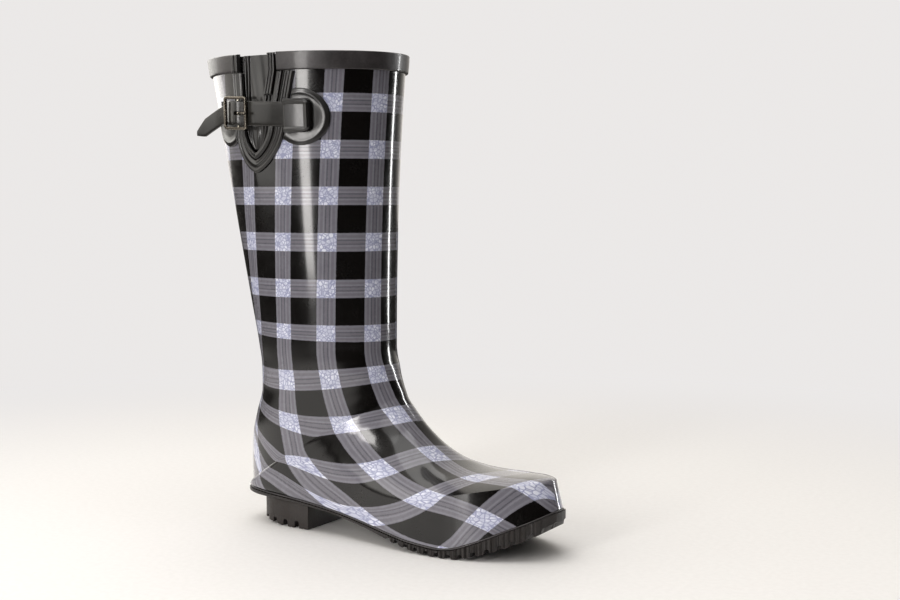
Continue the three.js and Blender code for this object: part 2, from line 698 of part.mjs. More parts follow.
function bottomFiller() {
  const slab = soleSlab({
    ...fullLength, depth: WALL_INSET, steps: 26,
    lowZ: (x) => featherZ(x) + LAYER_GAP,
    highZ: (x) => featherZ(x) + LAYER_GAP + FILLER_THICKNESS,
  });
  return cut(slab, [shankBar(LAYER_GAP + 0.05)]);
}

function insoleBoard() {
  const low = LAYER_GAP * 2 + FILLER_THICKNESS;
  return soleSlab({
    ...fullLength, depth: WALL_INSET + 0.2, steps: 26,
    lowZ: (x) => featherZ(x) + low,
    highZ: (x) => featherZ(x) + low + BOARD_THICKNESS,
  });
}

function footbed() {
  const low = BOARD_LIFT + LAYER_GAP;
  return soleSlab({
    ...fullLength, depth: liningDepth(LAST_ROW) + LINING_WALL + FOOTBED_PLAY, steps: 26,
    lowZ: (x) => featherZ(x) + low,
    highZ: (x) => featherZ(x) + low + FOOTBED_THICKNESS,
  });
}

// ---------------------------------------------------------------- sole

function outsole() {
  const lugBlend = (x) => LUG_DEPTH * smooth((x - TREAD_START_X) / 14);
  const plate = soleSlab({
    ...fullLength, fromX: -SOLE_FLANGE, toX: FOOT_LENGTH + SOLE_FLANGE, depth: -SOLE_FLANGE, steps: 30,
    lowZ: (x) => treadZ(x) + lugBlend(x),
    highZ: (x) => featherZ(x) - LAYER_GAP * 2 - WELT_THICKNESS,
  });
  const count = Math.floor((TREAD_END_X - TREAD_START_X) / LUG_PITCH);
  const lugs = range(1, count, count - 1).map((k) => {
    const startX = TREAD_START_X + k * LUG_PITCH;
    return soleSlab({
      fromX: startX, toX: startX + LUG_LENGTH, depth: -SOLE_FLANGE + 0.3, steps: 2,
      lowZ: treadZ,
      highZ: (x) => treadZ(x) + lugBlend(x) + 0.6,
    });
  });
  return join([plate, ...lugs]);
}

// The heel block is level under its front half and bevelled up towards the back.
function heelBlock() {
  const shift = HEEL_BACK_INSET - HEEL_SIDE_INSET;
  const bevelRun = HEEL_BEVEL_START_X - HEEL_BACK_INSET;
  const block = soleSlab({
    fromX: 0, toX: HEEL_BREAST_X - shift, depth: HEEL_SIDE_INSET, steps: 9,
    lowZ: (x) => HEEL_BEVEL_RISE * clamp01((HEEL_BEVEL_START_X - shift - x) / bevelRun),
    highZ: (x) => treadZ(x + shift) - LAYER_GAP,
  }).translate(shift, 0, 0);
  const pitch = (HEEL_BREAST_X - HEEL_BACK_INSET) / (HEEL_GROOVES + 1);
  const grooves = range(1, HEEL_GROOVES, HEEL_GROOVES - 1).map((k) => {
    const middle = HEEL_BACK_INSET + k * pitch;
    const half = HEEL_GROOVE_WIDTH / 2;
    return boxBetween([middle - half, -FOOT_BREADTH, -1], [middle + half, FOOT_BREADTH, HEEL_GROOVE_DEPTH]);
  });
  return cut(block, grooves);
}

// ---------------------------------------------------------------- top edge and gusset

const bandLow = BOOT_HEIGHT - RIM_BAND_HEIGHT;
const openingInset = TRIM_BAND + RIDGE_BAND + PIECE_GAP;
const openingFrontX = (z) => shieldMiddle(z, openingInset) + shieldHalf(z, openingInset);
const BAND_FRONT_X = openingFrontX(bandLow);
const BAND_REAR_X = shieldMiddle(bandLow) - shieldHalf(bandLow, 0);

// The band covers the outside of the top edge and laps over it.
function rimBand() {
  const { centre, length } = shaftAt(BOOT_HEIGHT);
  const angleOf = (x) => Math.asin((x - centre) / length);
  const start = angleOf(BAND_FRONT_X);
  const end = Math.PI * 2 + angleOf(BAND_REAR_X);
  const proud = SURFACE + RIM_BAND_THICKNESS;
  const lipReach = -(SHELL_WALL + LAYER_GAP + LINING_WALL);
  const profile = [
    [SURFACE, bandLow], [proud, bandLow + RIM_EDGE], [proud, BOOT_HEIGHT - RIM_EDGE],
    [proud - RIM_EDGE, BOOT_HEIGHT], [lipReach, BOOT_HEIGHT], [lipReach, BOOT_HEIGHT - RIM_LIP_THICKNESS],
    [SURFACE, BOOT_HEIGHT - RIM_LIP_THICKNESS],
  ];
  const loops = range(start, end, SIDE_STEPS * 7).map((angle) => profile.map(([height, z]) => {
    const at = shaftAt(z);
    const normal = new THREE.Vector2(Math.sin(angle) / at.length, -Math.cos(angle) / at.half).normalize();
    const x = at.centre + at.length * Math.sin(angle);
    return new THREE.Vector3(x + normal.x * height, -at.half * Math.cos(angle) + normal.y * height, z);
  }));
  return sweptSolid(loops);
}

const GUSSET_INSET = openingInset + LAYER_GAP;

// Heights of the panel between its pleats and of the pleats themselves.
const PANEL_TOP = -0.5;
const PLEAT_TOP = 1;

// A pleated panel that fills the opening in the shell.
function gussetPanel() {
  const pleats = [0.06, 0.16, 0.78, 0.90];
  const columns = 14;
  const heights = [
    ...range(SHELL_TOP_Z, TRIM_SHOULDER_Z, 3),
    ...range(TRIM_SHOULDER_Z, shieldTip(GUSSET_INSET) + 1.5, 6).slice(1),
  ];
  const pleatAt = (t) => Math.max(0, ...pleats.map((place) => 1 - Math.abs(t - place) / 0.05));
  const across = (z, t) => shieldMiddle(z, GUSSET_INSET) + lerp(-1, 1, t) * shieldHalf(z, GUSSET_INSET);
  const fade = (z) => smooth((z - shieldTip(GUSSET_INSET)) / 24);
  const outer = heights.map((z) => range(0, 1, columns).map((t) => (
    onShaft(across(z, t), z, lerp(PANEL_TOP, PLEAT_TOP, pleatAt(t) * fade(z))))));
  const inner = heights.map((z) => range(0, 1, columns).map((t) => (
    onShaft(across(z, t), z, RUN_GAP - SHELL_WALL))));
  return sheetSolid(outer, inner);
}

function shieldTrim() {
  return shieldBand({ inset: 0, band: TRIM_BAND, topZ: bandLow - 1, low: SURFACE, high: TRIM_TOP });
}

function gussetRidge() {
  return shieldBand({
    inset: TRIM_BAND + PIECE_GAP, band: RIDGE_BAND - PIECE_GAP, topZ: bandLow - 1,
    low: SURFACE, high: SURFACE + RIDGE_THICKNESS,
  });
}

const FRONT_WELT_LOW = PLEAT_TOP + SURFACE;

// Upright strip at the front of the opening, from the top edge down towards the strap.
function frontWelt() {
  return shaftPiece({
    heights: range(BOOT_HEIGHT - 0.3, STRAP_HEIGHT_Z + STRAP_WIDTH / 2 + 3, 4),
    stationsAt: (z) => {
      const end = Math.min(BAND_FRONT_X, openingFrontX(z)) - PIECE_GAP * 1.6;
      return range(end - WELT_WIDTH, end, 3);
    },
    low: FRONT_WELT_LOW,
    high: FRONT_WELT_LOW + FRONT_WELT_THICKNESS,
  });
}

// Upright strip and thick cap at the rear of the opening.
function rearWelt() {
  const start = BAND_REAR_X + PIECE_GAP * 4;
  return shaftPiece({
    heights: range(BOOT_HEIGHT - 0.2, bandLow - 0.4, 2),
    stationsAt: () => range(start, start + WELT_WIDTH, 3),
    low: SURFACE,
    high: SURFACE + REAR_CAP_THICKNESS,
  });
}

// ---------------------------------------------------------------- strap anchors

// A round patch beside the gusset trim, trimmed back along the shield's edge.
function patch({ x: centreX, z: centreZ, radius }, direction) {
  const quarter = Math.PI * 0.48;
  const heights = range(-quarter, quarter, 10).map((angle) => centreZ + radius * Math.sin(angle));
  const stationsAt = (z) => {
    const chord = Math.sqrt(Math.max(0, radius ** 2 - (z - centreZ) ** 2));
    const trimEdge = shieldMiddle(z) + direction * (shieldHalf(z, 0) + PIECE_GAP + 0.2);
    const far = centreX + direction * chord;
    const near = direction * Math.max(direction * (centreX - direction * chord), direction * trimEdge);
    return range(near, far, 7);
  };
  return shaftPiece({ heights, stationsAt, low: SURFACE, high: SURFACE + PATCH_THICKNESS });
}

// A bridge on the front patch with a slot for the strap's end.
function strapAnchor() {
  const centreZ = strapZ((ANCHOR_BACK_X + ANCHOR_FRONT_X) / 2);
  const half = STRAP_WIDTH / 2 + SLOT_CLEARANCE;
  const slotTop = STRAP_REST + STRAP_THICKNESS / 2 + RUN_GAP * 2;
  const block = shaftPiece({
    heights: range(centreZ + half + ANCHOR_WALL, centreZ - half - ANCHOR_WALL, 4),
    stationsAt: () => range(ANCHOR_BACK_X, ANCHOR_FRONT_X, 8),
    low: TRIM_TOP + RUN_GAP,
    high: slotTop + ANCHOR_ROOF,
  });
  const slot = shaftPiece({
    heights: range(centreZ + half, centreZ - half, 3),
    stationsAt: () => range(ANCHOR_BACK_X - OVERCUT, ANCHOR_FRONT_X - ANCHOR_WALL, 8),
    low: TRIM_TOP - OVERCUT,
    high: slotTop,
  });
  return cut(block, [slot]);
}

// ---------------------------------------------------------------- strap

// Where the middle of the strap's thickness runs, in the buckle's frame, from its front end to the
// place behind the buckle where its loose end starts.
function strapRoute() {
  const onLeg = range(STRAP_FRONT_X, BUCKLE_X + BUCKLE_WIDTH / 2 + 5, 8)
    .map((x) => onShaft(x, strapZ(x), STRAP_REST).applyMatrix4(strapFrameInverse))
    .map((point) => new THREE.Vector2(point.x, point.z));
  const crown = PIN_RADIUS + RUN_GAP + TAB_THICKNESS;
  const through = [
    [BAR_REACH, STRAP_REST], [crown, STRAP_CREST], [-crown, STRAP_CREST],
    [-BAR_REACH, STRAP_REAR], [TAIL_HINGE + STRAP_THICKNESS * 0.7, STRAP_REAR],
  ].map(([along, out]) => new THREE.Vector2(along, out));
  return new THREE.SplineCurve([...onLeg, ...through]).getSpacedPoints(44);
}

// A flat strip of even thickness along a route in the buckle's frame.
function strip(route, widthAt, thicknessAt, dropAt) {
  return sweptSolid(route.map((point, k) => {
    const before = route[Math.max(0, k - 1)];
    const after = route[Math.min(route.length - 1, k + 1)];
    const along = after.clone().sub(before).normalize();
    const side = new THREE.Vector2(along.y, -along.x).multiplyScalar(thicknessAt(k) / 2);
    const half = widthAt(k) / 2;
    const drop = dropAt(k);
    return [[side, half], [side, -half], [side.clone().negate(), -half], [side.clone().negate(), half]]
      .map(([offset, up]) => new THREE.Vector3(point.x + offset.x, up - drop, point.y + offset.y));
  }));
}

function strap() {
  const band = strip(strapRoute(), () => STRAP_WIDTH, () => STRAP_THICKNESS, () => 0);
  const slotHalf = PRONG_WIDTH / 2 + RUN_GAP;
  const slot = boxBetween(
    [PRONG_HOLE_START, -slotHalf, 0],
    [PRONG_HOLE_START + PRONG_HOLE_LENGTH, slotHalf, STRAP_CREST + STRAP_THICKNESS * 2],
  );
  return cut(band, [slot]);
}

function strapTail() {
  const steps = 12;
  const route = range(0, 1, steps).map((t) => (
    new THREE.Vector2(TAIL_HINGE - t * TAIL_LENGTH, STRAP_REAR + TAIL_LIFT * t ** 2)));
  route.unshift(new THREE.Vector2(TAIL_HINGE + STRAP_THICKNESS * 0.35, STRAP_REAR));
  const along = (k) => Math.max(0, (k - 1) / steps);
  const taperStart = 1 - TAIL_TAPER / TAIL_LENGTH;
  const taper = (k) => clamp01((along(k) - taperStart) / (1 - taperStart));
  const width = (k) => lerp(TAIL_WIDTH, TAIL_TIP_WIDTH, taper(k));
  const thickness = (k) => (k === 0 ? STRAP_THICKNESS * 0.4 : STRAP_THICKNESS);
  return strip(route, width, thickness, (k) => TAIL_ROOT_DROP + TAIL_DROOP * along(k) ** 1.15);
}

// ---------------------------------------------------------------- buckle

// A bar of square section with its long side upright.
function uprightBar(x, out, height) {
  const half = BUCKLE_BAR / 2;
  return boxBetween([x - half, -height / 2, out - half], [x + half, height / 2, out + half]);
}

// A rail between the two outer bars, at one end of them.
function rail(y) {
  const half = BUCKLE_BAR / 2;
  const line = [
    [BAR_REACH + half, FRONT_BAR_HEIGHT], [0, RAIL_MIDDLE_HEIGHT], [-BAR_REACH - half, REAR_BAR_HEIGHT],
  ];
  const corners = [[half, half], [half, -half], [-half, -half], [-half, half]];
  return sweptSolid(line.map(([x, out]) => (
    corners.map(([dy, dz]) => new THREE.Vector3(x, y + dy, out + dz)))));
}

function buckleFrameSolid() {
  const railPlace = BUCKLE_HEIGHT / 2 - BUCKLE_BAR / 2;
  const pin = new THREE.CylinderGeometry(PIN_RADIUS, PIN_RADIUS, BUCKLE_HEIGHT - 1, 14);
  pin.translate(0, 0, PIN_HEIGHT);
  const cheeks = [1, -1].map((side) => boxBetween(
    [-PIN_RADIUS, side * railPlace - BUCKLE_BAR / 2, PIN_HEIGHT - PIN_RADIUS],
    [PIN_RADIUS, side * railPlace + BUCKLE_BAR / 2, RAIL_MIDDLE_HEIGHT],
  ));
  return join([
    uprightBar(BAR_REACH, FRONT_BAR_HEIGHT, BUCKLE_HEIGHT),
    uprightBar(-BAR_REACH, REAR_BAR_HEIGHT, BUCKLE_HEIGHT),
    rail(railPlace), rail(-railPlace), pin, ...cheeks,
  ]);
}

// The prong's ring turns on the pin, and its arm reaches over the front bar.
function prong() {
  const ringInner = PIN_RADIUS + RUN_GAP;
  const ringOuter = ringInner + RING_WALL;
  const half = PRONG_WIDTH / 2;
  const corners = [[ringInner, -half], [ringOuter, -half], [ringOuter, half], [ringInner, half]];
  const profile = [...corners, corners[0]].map(([radius, y]) => new THREE.Vector2(radius, y));
  const ring = new THREE.LatheGeometry(profile, 18);
  ring.translate(0, 0, PIN_HEIGHT);
  const start = new THREE.Vector2(ringInner + 0.5, PIN_HEIGHT + 0.5);
  const over = FRONT_BAR_HEIGHT + BUCKLE_BAR / 2 + RUN_GAP + PRONG_THICKNESS / 2 + 0.15;
  const bend = new THREE.Vector2(BAR_REACH - BUCKLE_BAR / 2 - 0.9, over);
  const end = new THREE.Vector2(BAR_REACH + BUCKLE_BAR / 2 + 0.7, over);
  const arm = strip([start, bend, end], () => PRONG_WIDTH - 0.4, () => PRONG_THICKNESS, () => 0);
  return join([ring, arm]);
}

// The tab is fixed to the rear patch and wraps around the pin, with a slot for the prong.
function buckleTab() {
  const wrapInner = PIN_RADIUS + RUN_GAP;
  const wrapOuter = wrapInner + TAB_THICKNESS;
  const tailX = -(BUCKLE_X - REAR_PATCH.x) - 4;
  const arc = (radius, from, to) => range(from, to, 12).map((angle) => (
    new THREE.Vector2(radius * Math.cos(angle), PIN_HEIGHT + radius * Math.sin(angle))));
  const lap = -BAR_REACH * 0.55;
  const lapLow = TAB_LOW + TAB_THICKNESS + RUN_GAP;
  const wrapEnd = Math.PI * 0.62;
  const outline = new THREE.Shape([
    new THREE.Vector2(tailX, TAB_LOW),
    ...arc(wrapOuter, -Math.PI / 2, wrapEnd),
    new THREE.Vector2(lap, lapLow + TAB_THICKNESS),
    new THREE.Vector2(lap, lapLow),
    ...arc(wrapInner, wrapEnd, -Math.PI / 2),
    new THREE.Vector2(tailX, TAB_LOW + TAB_THICKNESS),
  ]);
  const solid = new THREE.ExtrudeGeometry(outline, { depth: TAB_WIDTH, bevelEnabled: false });
  solid.rotateX(Math.PI / 2);
  solid.translate(0, TAB_WIDTH / 2, 0);
  const slotHalf = PRONG_WIDTH / 2 + RUN_GAP;
  const reach = wrapOuter + RUN_GAP + 0.2;
  return cut(solid, [boxBetween([-reach, -slotHalf, -1], [reach + 1, slotHalf, TAB_TOP + 2])]);
}

// ---------------------------------------------------------------- materials and assembly

const makeMaterial = (color, roughness, metalness = 0) => (
  new THREE.MeshStandardMaterial({ color, roughness, metalness }));
const materials = {
  plaidRubber: makeMaterial(0x23222a, 0.2),
  blackRubber: makeMaterial(0x121113, 0.25),
  soleRubber: makeMaterial(0x1c1715, 0.6),
  lining: makeMaterial(0x2e2c2b, 0.9),
  board: makeMaterial(0x8a7458, 0.9),
  stiffener: makeMaterial(0xb9a88c, 0.9),
  footbed: makeMaterial(0x3a3a3c, 0.95),
  steel: makeMaterial(0x8f8f92, 0.4, 1),
  strap: makeMaterial(0x1d1a16, 0.35),
  antiqueMetal: makeMaterial(0x5a5450, 0.35, 1),
};

const boot = new THREE.Group();
const hardware = new THREE.Group();
hardware.applyMatrix4(strapFrame);

function addPiece(parent, name, geometry, material) {
  const mesh = new THREE.Mesh(geometry, material);
  mesh.name = name;
  parent.add(mesh);
}

addPiece(boot, 'upper_shell', upperShell(), materials.plaidRubber);
addPiece(boot, 'lining', lining(), materials.lining);
addPiece(boot, 'heel_counter', heelCounter(), materials.stiffener);
addPiece(boot, 'toe_puff', toePuff(), materials.stiffener);
addPiece(boot, 'bottom_filler', bottomFiller(), materials.board);
addPiece(boot, 'shank', shankBar(0), materials.steel);
addPiece(boot, 'insole_board', insoleBoard(), materials.board);
addPiece(boot, 'footbed', footbed(), materials.footbed);
addPiece(boot, 'outsole', outsole(), materials.soleRubber);
addPiece(boot, 'heel_block', heelBlock(), materials.soleRubber);
addPiece(boot, 'sole_welt', soleWelt(), materials.blackRubber);
addPiece(boot, 'back_stay', backStay(), materials.blackRubber);
addPiece(boot, 'rim_band', rimBand(), materials.blackRubber);
addPiece(boot, 'gusset_panel', gussetPanel(), materials.blackRubber);
addPiece(boot, 'gusset_ridge', gussetRidge(), materials.blackRubber);
addPiece(boot, 'shield_trim', shieldTrim(), materials.blackRubber);
addPiece(boot, 'gusset_welt_front', frontWelt(), materials.blackRubber);
addPiece(boot, 'gusset_welt_rear', rearWelt(), materials.blackRubber);
addPiece(boot, 'anchor_patch_front', patch(FRONT_PATCH, 1), materials.blackRubber);
addPiece(boot, 'anchor_patch_rear', patch(REAR_PATCH, -1), materials.blackRubber);
addPiece(boot, 'strap_anchor', strapAnchor(), materials.blackRubber);
addPiece(hardware, 'strap', strap(), materials.strap);
addPiece(hardware, 'strap_tail', strapTail(), materials.strap);
addPiece(hardware, 'buckle_tab', buckleTab(), materials.strap);
addPiece(hardware, 'buckle_frame', buckleFrameSolid(), materials.antiqueMetal);
addPiece(hardware, 'buckle_prong', prong(), materials.antiqueMetal);
boot.add(hardware);

boot.updateMatrixWorld(true);
const bounds = new THREE.Box3().setFromObject(boot, true);
boot.position.set(-(bounds.min.x + bounds.max.x) / 2, -(bounds.min.y + bounds.max.y) / 2, -bounds.min.z);
boot.updateMatrixWorld(true);

export default boot;
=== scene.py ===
"""A tall rubber rain boot for the right foot, printed with a check, with a side gusset and a buckled strap."""

import logging
import math
from dataclasses import dataclass, field
from enum import Enum
from typing import Callable, ClassVar, Iterable, Sequence

import bmesh
import bpy
import numpy as np
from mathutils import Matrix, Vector

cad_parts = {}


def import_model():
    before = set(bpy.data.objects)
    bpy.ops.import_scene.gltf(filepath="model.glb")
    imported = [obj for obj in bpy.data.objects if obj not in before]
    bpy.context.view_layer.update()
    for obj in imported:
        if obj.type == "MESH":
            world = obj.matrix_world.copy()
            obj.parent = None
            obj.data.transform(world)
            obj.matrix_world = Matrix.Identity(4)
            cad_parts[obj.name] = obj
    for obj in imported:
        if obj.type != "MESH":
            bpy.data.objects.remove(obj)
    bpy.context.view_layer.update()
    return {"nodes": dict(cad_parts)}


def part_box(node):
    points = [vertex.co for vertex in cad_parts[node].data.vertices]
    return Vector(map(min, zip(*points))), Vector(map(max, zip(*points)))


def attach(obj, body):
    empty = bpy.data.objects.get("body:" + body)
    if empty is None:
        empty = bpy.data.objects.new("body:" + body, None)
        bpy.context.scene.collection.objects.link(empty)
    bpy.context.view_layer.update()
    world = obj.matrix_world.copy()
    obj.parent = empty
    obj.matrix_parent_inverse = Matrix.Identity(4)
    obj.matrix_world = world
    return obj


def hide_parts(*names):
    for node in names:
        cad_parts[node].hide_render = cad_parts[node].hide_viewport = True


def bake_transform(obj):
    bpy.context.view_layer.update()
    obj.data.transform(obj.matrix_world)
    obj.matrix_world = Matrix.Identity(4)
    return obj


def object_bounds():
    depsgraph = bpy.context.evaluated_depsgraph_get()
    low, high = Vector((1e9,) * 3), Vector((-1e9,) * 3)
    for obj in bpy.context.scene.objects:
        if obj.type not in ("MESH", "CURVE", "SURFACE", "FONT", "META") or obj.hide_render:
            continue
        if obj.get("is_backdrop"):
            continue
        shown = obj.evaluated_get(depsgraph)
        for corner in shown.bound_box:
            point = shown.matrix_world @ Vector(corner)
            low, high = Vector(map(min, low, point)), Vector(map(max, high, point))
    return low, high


LOG = logging.getLogger("rain_boot")

Array = np.ndarray
Piece, Material = bpy.types.Object, bpy.types.Material
Node, NodeTree, Socket = bpy.types.Node, bpy.types.NodeTree, bpy.types.NodeSocket
Values = float | Array
Feed = Socket | float | Sequence[float]
Pair = tuple[float, float]
Place = Colour = tuple[float, float, float]


# Small helpers.


def lerp(a: Values, b: Values, t: Values) -> Values:
    """A value the share t of the way from a to b."""
    return a + (b - a) * t


def ramp(x: Values, low: float, high: float) -> Values:
    """A smooth rise from 0 at low to 1 at high.

    Args:
        x: A number or an array.
        low: Where the rise starts.
        high: Where it ends, which may lie below low.

    Returns:
        The height of the rise, from 0 to 1.
    """
    t = np.clip((np.asarray(x, dtype=float) - low) / (high - low), 0, 1)
    return t * t * (3 - 2 * t)


def bump(x: Values, centre: float, half: float) -> Values:
    """A rounded ridge of height 1 at centre, down to 0 at half a width either side."""
    t = np.clip(np.abs(np.asarray(x, dtype=float) - centre) / half, 0, 1)
    return np.cos(t * math.pi / 2) ** 2


def rolled(distance: Values, radius: float) -> Values:
    """How far an edge has rolled down, from 1 at the edge to 0 a radius inside it.

    Args:
        distance: How far inside the edge a point lies.
        radius: The radius of the rounded edge.

    Returns:
        The drop as a share of the radius.
    """
    t = np.clip(1 - np.asarray(distance, dtype=float) / radius, 0, 1)
    return 1 - np.sqrt(np.clip(1 - t * t, 0, 1))


def narrowing(depth: Values, breadth: Values) -> Values:
    """How far an edge moves in for a depth, fading out where the half breadth ends."""
    return depth * breadth / (np.abs(breadth) + np.abs(depth) + 1e-6)


def unit(vectors: Array) -> Array:
    """Vectors of length 1 in the same directions."""
    return vectors / np.maximum(np.linalg.norm(vectors, axis=-1, keepdims=True), 1e-12)


def run_length(points: Array, axis: int = 0) -> Array:
    """Distance along lines of points.

    Args:
        points: The lines' points.
        axis: The axis that the lines run along.

    Returns:
        The distance from the first point.
    """
    steps = np.linalg.norm(np.diff(points, axis=axis), axis=-1)
    start = np.zeros_like(np.take(steps, [0], axis=axis))
    return np.concatenate([start, np.cumsum(steps, axis=axis)], axis=axis)


def even_steps(line: Array, count: int) -> Array:
    """Points spaced evenly along a line of points.

    Args:
        line: Its points.
        count: How many points.

    Returns:
        The new points.
    """
    along = run_length(line)
    places = np.linspace(0, along[-1], count)
    return np.stack([np.interp(places, along, line[:, k]) for k in range(line.shape[1])], axis=1)


def flowing_line(knots: Array, per_span: int = 16) -> Array:
    """A smooth line through knots.

    Args:
        knots: The points that it passes.
        per_span: Steps between two knots.

    Returns:
        The points of the line.
    """
    ends = np.vstack([2 * knots[0] - knots[1], knots, 2 * knots[-1] - knots[-2]])
    points = []
    for k in range(len(knots) - 1):
        a, b, c, d = ends[k:k + 4]
        for t in np.linspace(0, 1, per_span, endpoint=False):
            points.append(0.5 * (2 * b + (c - a) * t + (2 * a - 5 * b + 4 * c - d) * t * t
                    + (3 * b - a - 3 * c + d) * t ** 3))
    points.append(knots[-1])
    return np.array(points)


def monotone(knots: Sequence[Pair], x: Values) -> Values:
    """A smooth curve through knots that never overshoots them.

    Args:
        knots: Pairs of place and value, in order of place.
        x: Where the curve is read.

    Returns:
        The value at each place.
    """
    places, values = np.array(knots, dtype=float).T
    x = np.asarray(x, dtype=float)
    width = np.diff(places)
    slope = np.diff(values) / width
    a, b = slope[:-1], slope[1:]
    inner = np.where(a * b > 0, 2 * a * b / np.where(a + b == 0, 1, a + b), 0)
    tangent = np.concatenate([slope[:1], inner, slope[-1:]])
    k = np.clip(np.searchsorted(places, x, side="right") - 1, 0, len(width) - 1)
    t = (x - places[k]) / width[k]
    inside = ((2 * t ** 3 - 3 * t ** 2 + 1) * values[k] + (3 * t ** 2 - 2 * t ** 3) * values[k + 1]
        + (t ** 3 - 2 * t ** 2 + t) * width[k] * tangent[k] + (t ** 3 - t ** 2) * width[k] * tangent[k + 1])
    before = values[0] + (x - places[0]) * slope[0]
    after = values[-1] + (x - places[-1]) * slope[-1]
    return np.where(x < places[0], before, np.where(x > places[-1], after, inside))


# The form of the boot.

SECTION_FIELDS = ("front_x", "front_z", "edge_x", "edge_z", "wide", "outer", "inner",
    "outer_edge", "inner_edge", "crest", "round")
LENGTH_FIELDS = ("front_x", "edge_x")
BREADTH_FIELDS = ("outer", "inner", "outer_edge", "inner_edge", "crest")

# Sections of the foot from the ankle down the heel and forward to the toe: shares of the foot's
# length and half breadth, and heights in millimetres.
FOOT_SECTIONS = (
    (0.4655, 141.5, 0.05, 130, 0.5, 0.93, 0.93, 0, 0, 0, 2),
    (0.475, 134.2, 0.047, 110, 0.5, 0.89, 0.89, 0, 0, 0, 2),
    (0.482, 127.8, 0.0235, 90, 0.5, 0.85, 0.85, 0, 0, 0.01, 2),
    (0.49, 121.8, 0.0053, 70, 0.5, 0.825, 0.81, 0, 0, 0.02, 2),
    (0.498, 116.2, 0, 50, 0.5, 0.8, 0.775, 0, 0, 0.03, 2),
    (0.506, 110.8, 0, 29, 0.5, 0.785, 0.755, 0, 0, 0.04, 2),
    (0.509, 109.2, 0.012, 29, 0.5, 0.785, 0.75, 0.26, 0.26, 0.04, 2),
    (0.513, 107.4, 0.033, 29, 0.5, 0.78, 0.74, 0.42, 0.42, 0.04, 2),
    (0.519, 104.8, 0.072, 28.9, 0.51, 0.775, 0.73, 0.56, 0.55, 0.05, 1.9),
    (0.527, 101.8, 0.128, 28, 0.53, 0.77, 0.72, 0.64, 0.62, 0.06, 1.8),
    (0.537, 98.2, 0.196, 26.6, 0.56, 0.77, 0.71, 0.67, 0.64, 0.06, 1.6),
    (0.551, 93.4, 0.28, 24, 0.6, 0.78, 0.69, 0.69, 0.6, 0.07, 1.4),
    (0.571, 87.2, 0.368, 20.6, 0.62, 0.8, 0.665, 0.72, 0.56, 0.08, 1.3),
    (0.601, 79.2, 0.456, 16.8, 0.62, 0.86, 0.67, 0.8, 0.58, 0.09, 1.2),
    (0.639, 71.2, 0.544, 12.6, 0.57, 0.92, 0.73, 0.9, 0.68, 0.08, 1.1),
    (0.683, 64.4, 0.632, 8.8, 0.43, 0.96, 0.82, 0.985, 0.83, 0.07, 1),
    (0.733, 60.4, 0.719, 7, 0.29, 0.95, 0.88, 1.01, 0.95, 0.06, 1),
    (0.76, 59.3, 0.76, 8.2, 0.24, 0.925, 0.87, 0.995, 0.96, 0.05, 1),
    (0.8, 58.6, 0.8, 11.8, 0.2, 0.88, 0.82, 0.955, 0.92, 0.03, 1),
    (0.842, 58.5, 0.842, 16.5, 0.165, 0.805, 0.73, 0.885, 0.83, 0, 1),
    (0.882, 58.7, 0.884, 21.8, 0.14, 0.7, 0.59, 0.78, 0.7, -0.03, 1),
    (0.916, 59, 0.92, 26.2, 0.11, 0.59, 0.44, 0.67, 0.56, -0.06, 1),
    (0.943, 59, 0.949, 29.8, 0.1, 0.475, 0.3, 0.56, 0.42, -0.08, 1),
    (0.962, 58.9, 0.971, 32.8, 0.1, 0.37, 0.18, 0.445, 0.29, -0.09, 1),
    (0.9735, 58.6, 0.9865, 35, 0.1, 0.27, 0.08, 0.33, 0.165, -0.1, 1),
    (0.9795, 58.2, 0.996, 36.1, 0.1, 0.185, -0.01, 0.22, 0.04, -0.1, 1),
    (0.982, 58, 1, 36.6, 0.1, 0.1, -0.1, 0.1, -0.1, -0.1, 1),
)
SHAFT_ROWS = (0, 0.16, 0.34, 0.52, 0.70, 0.86, 1)


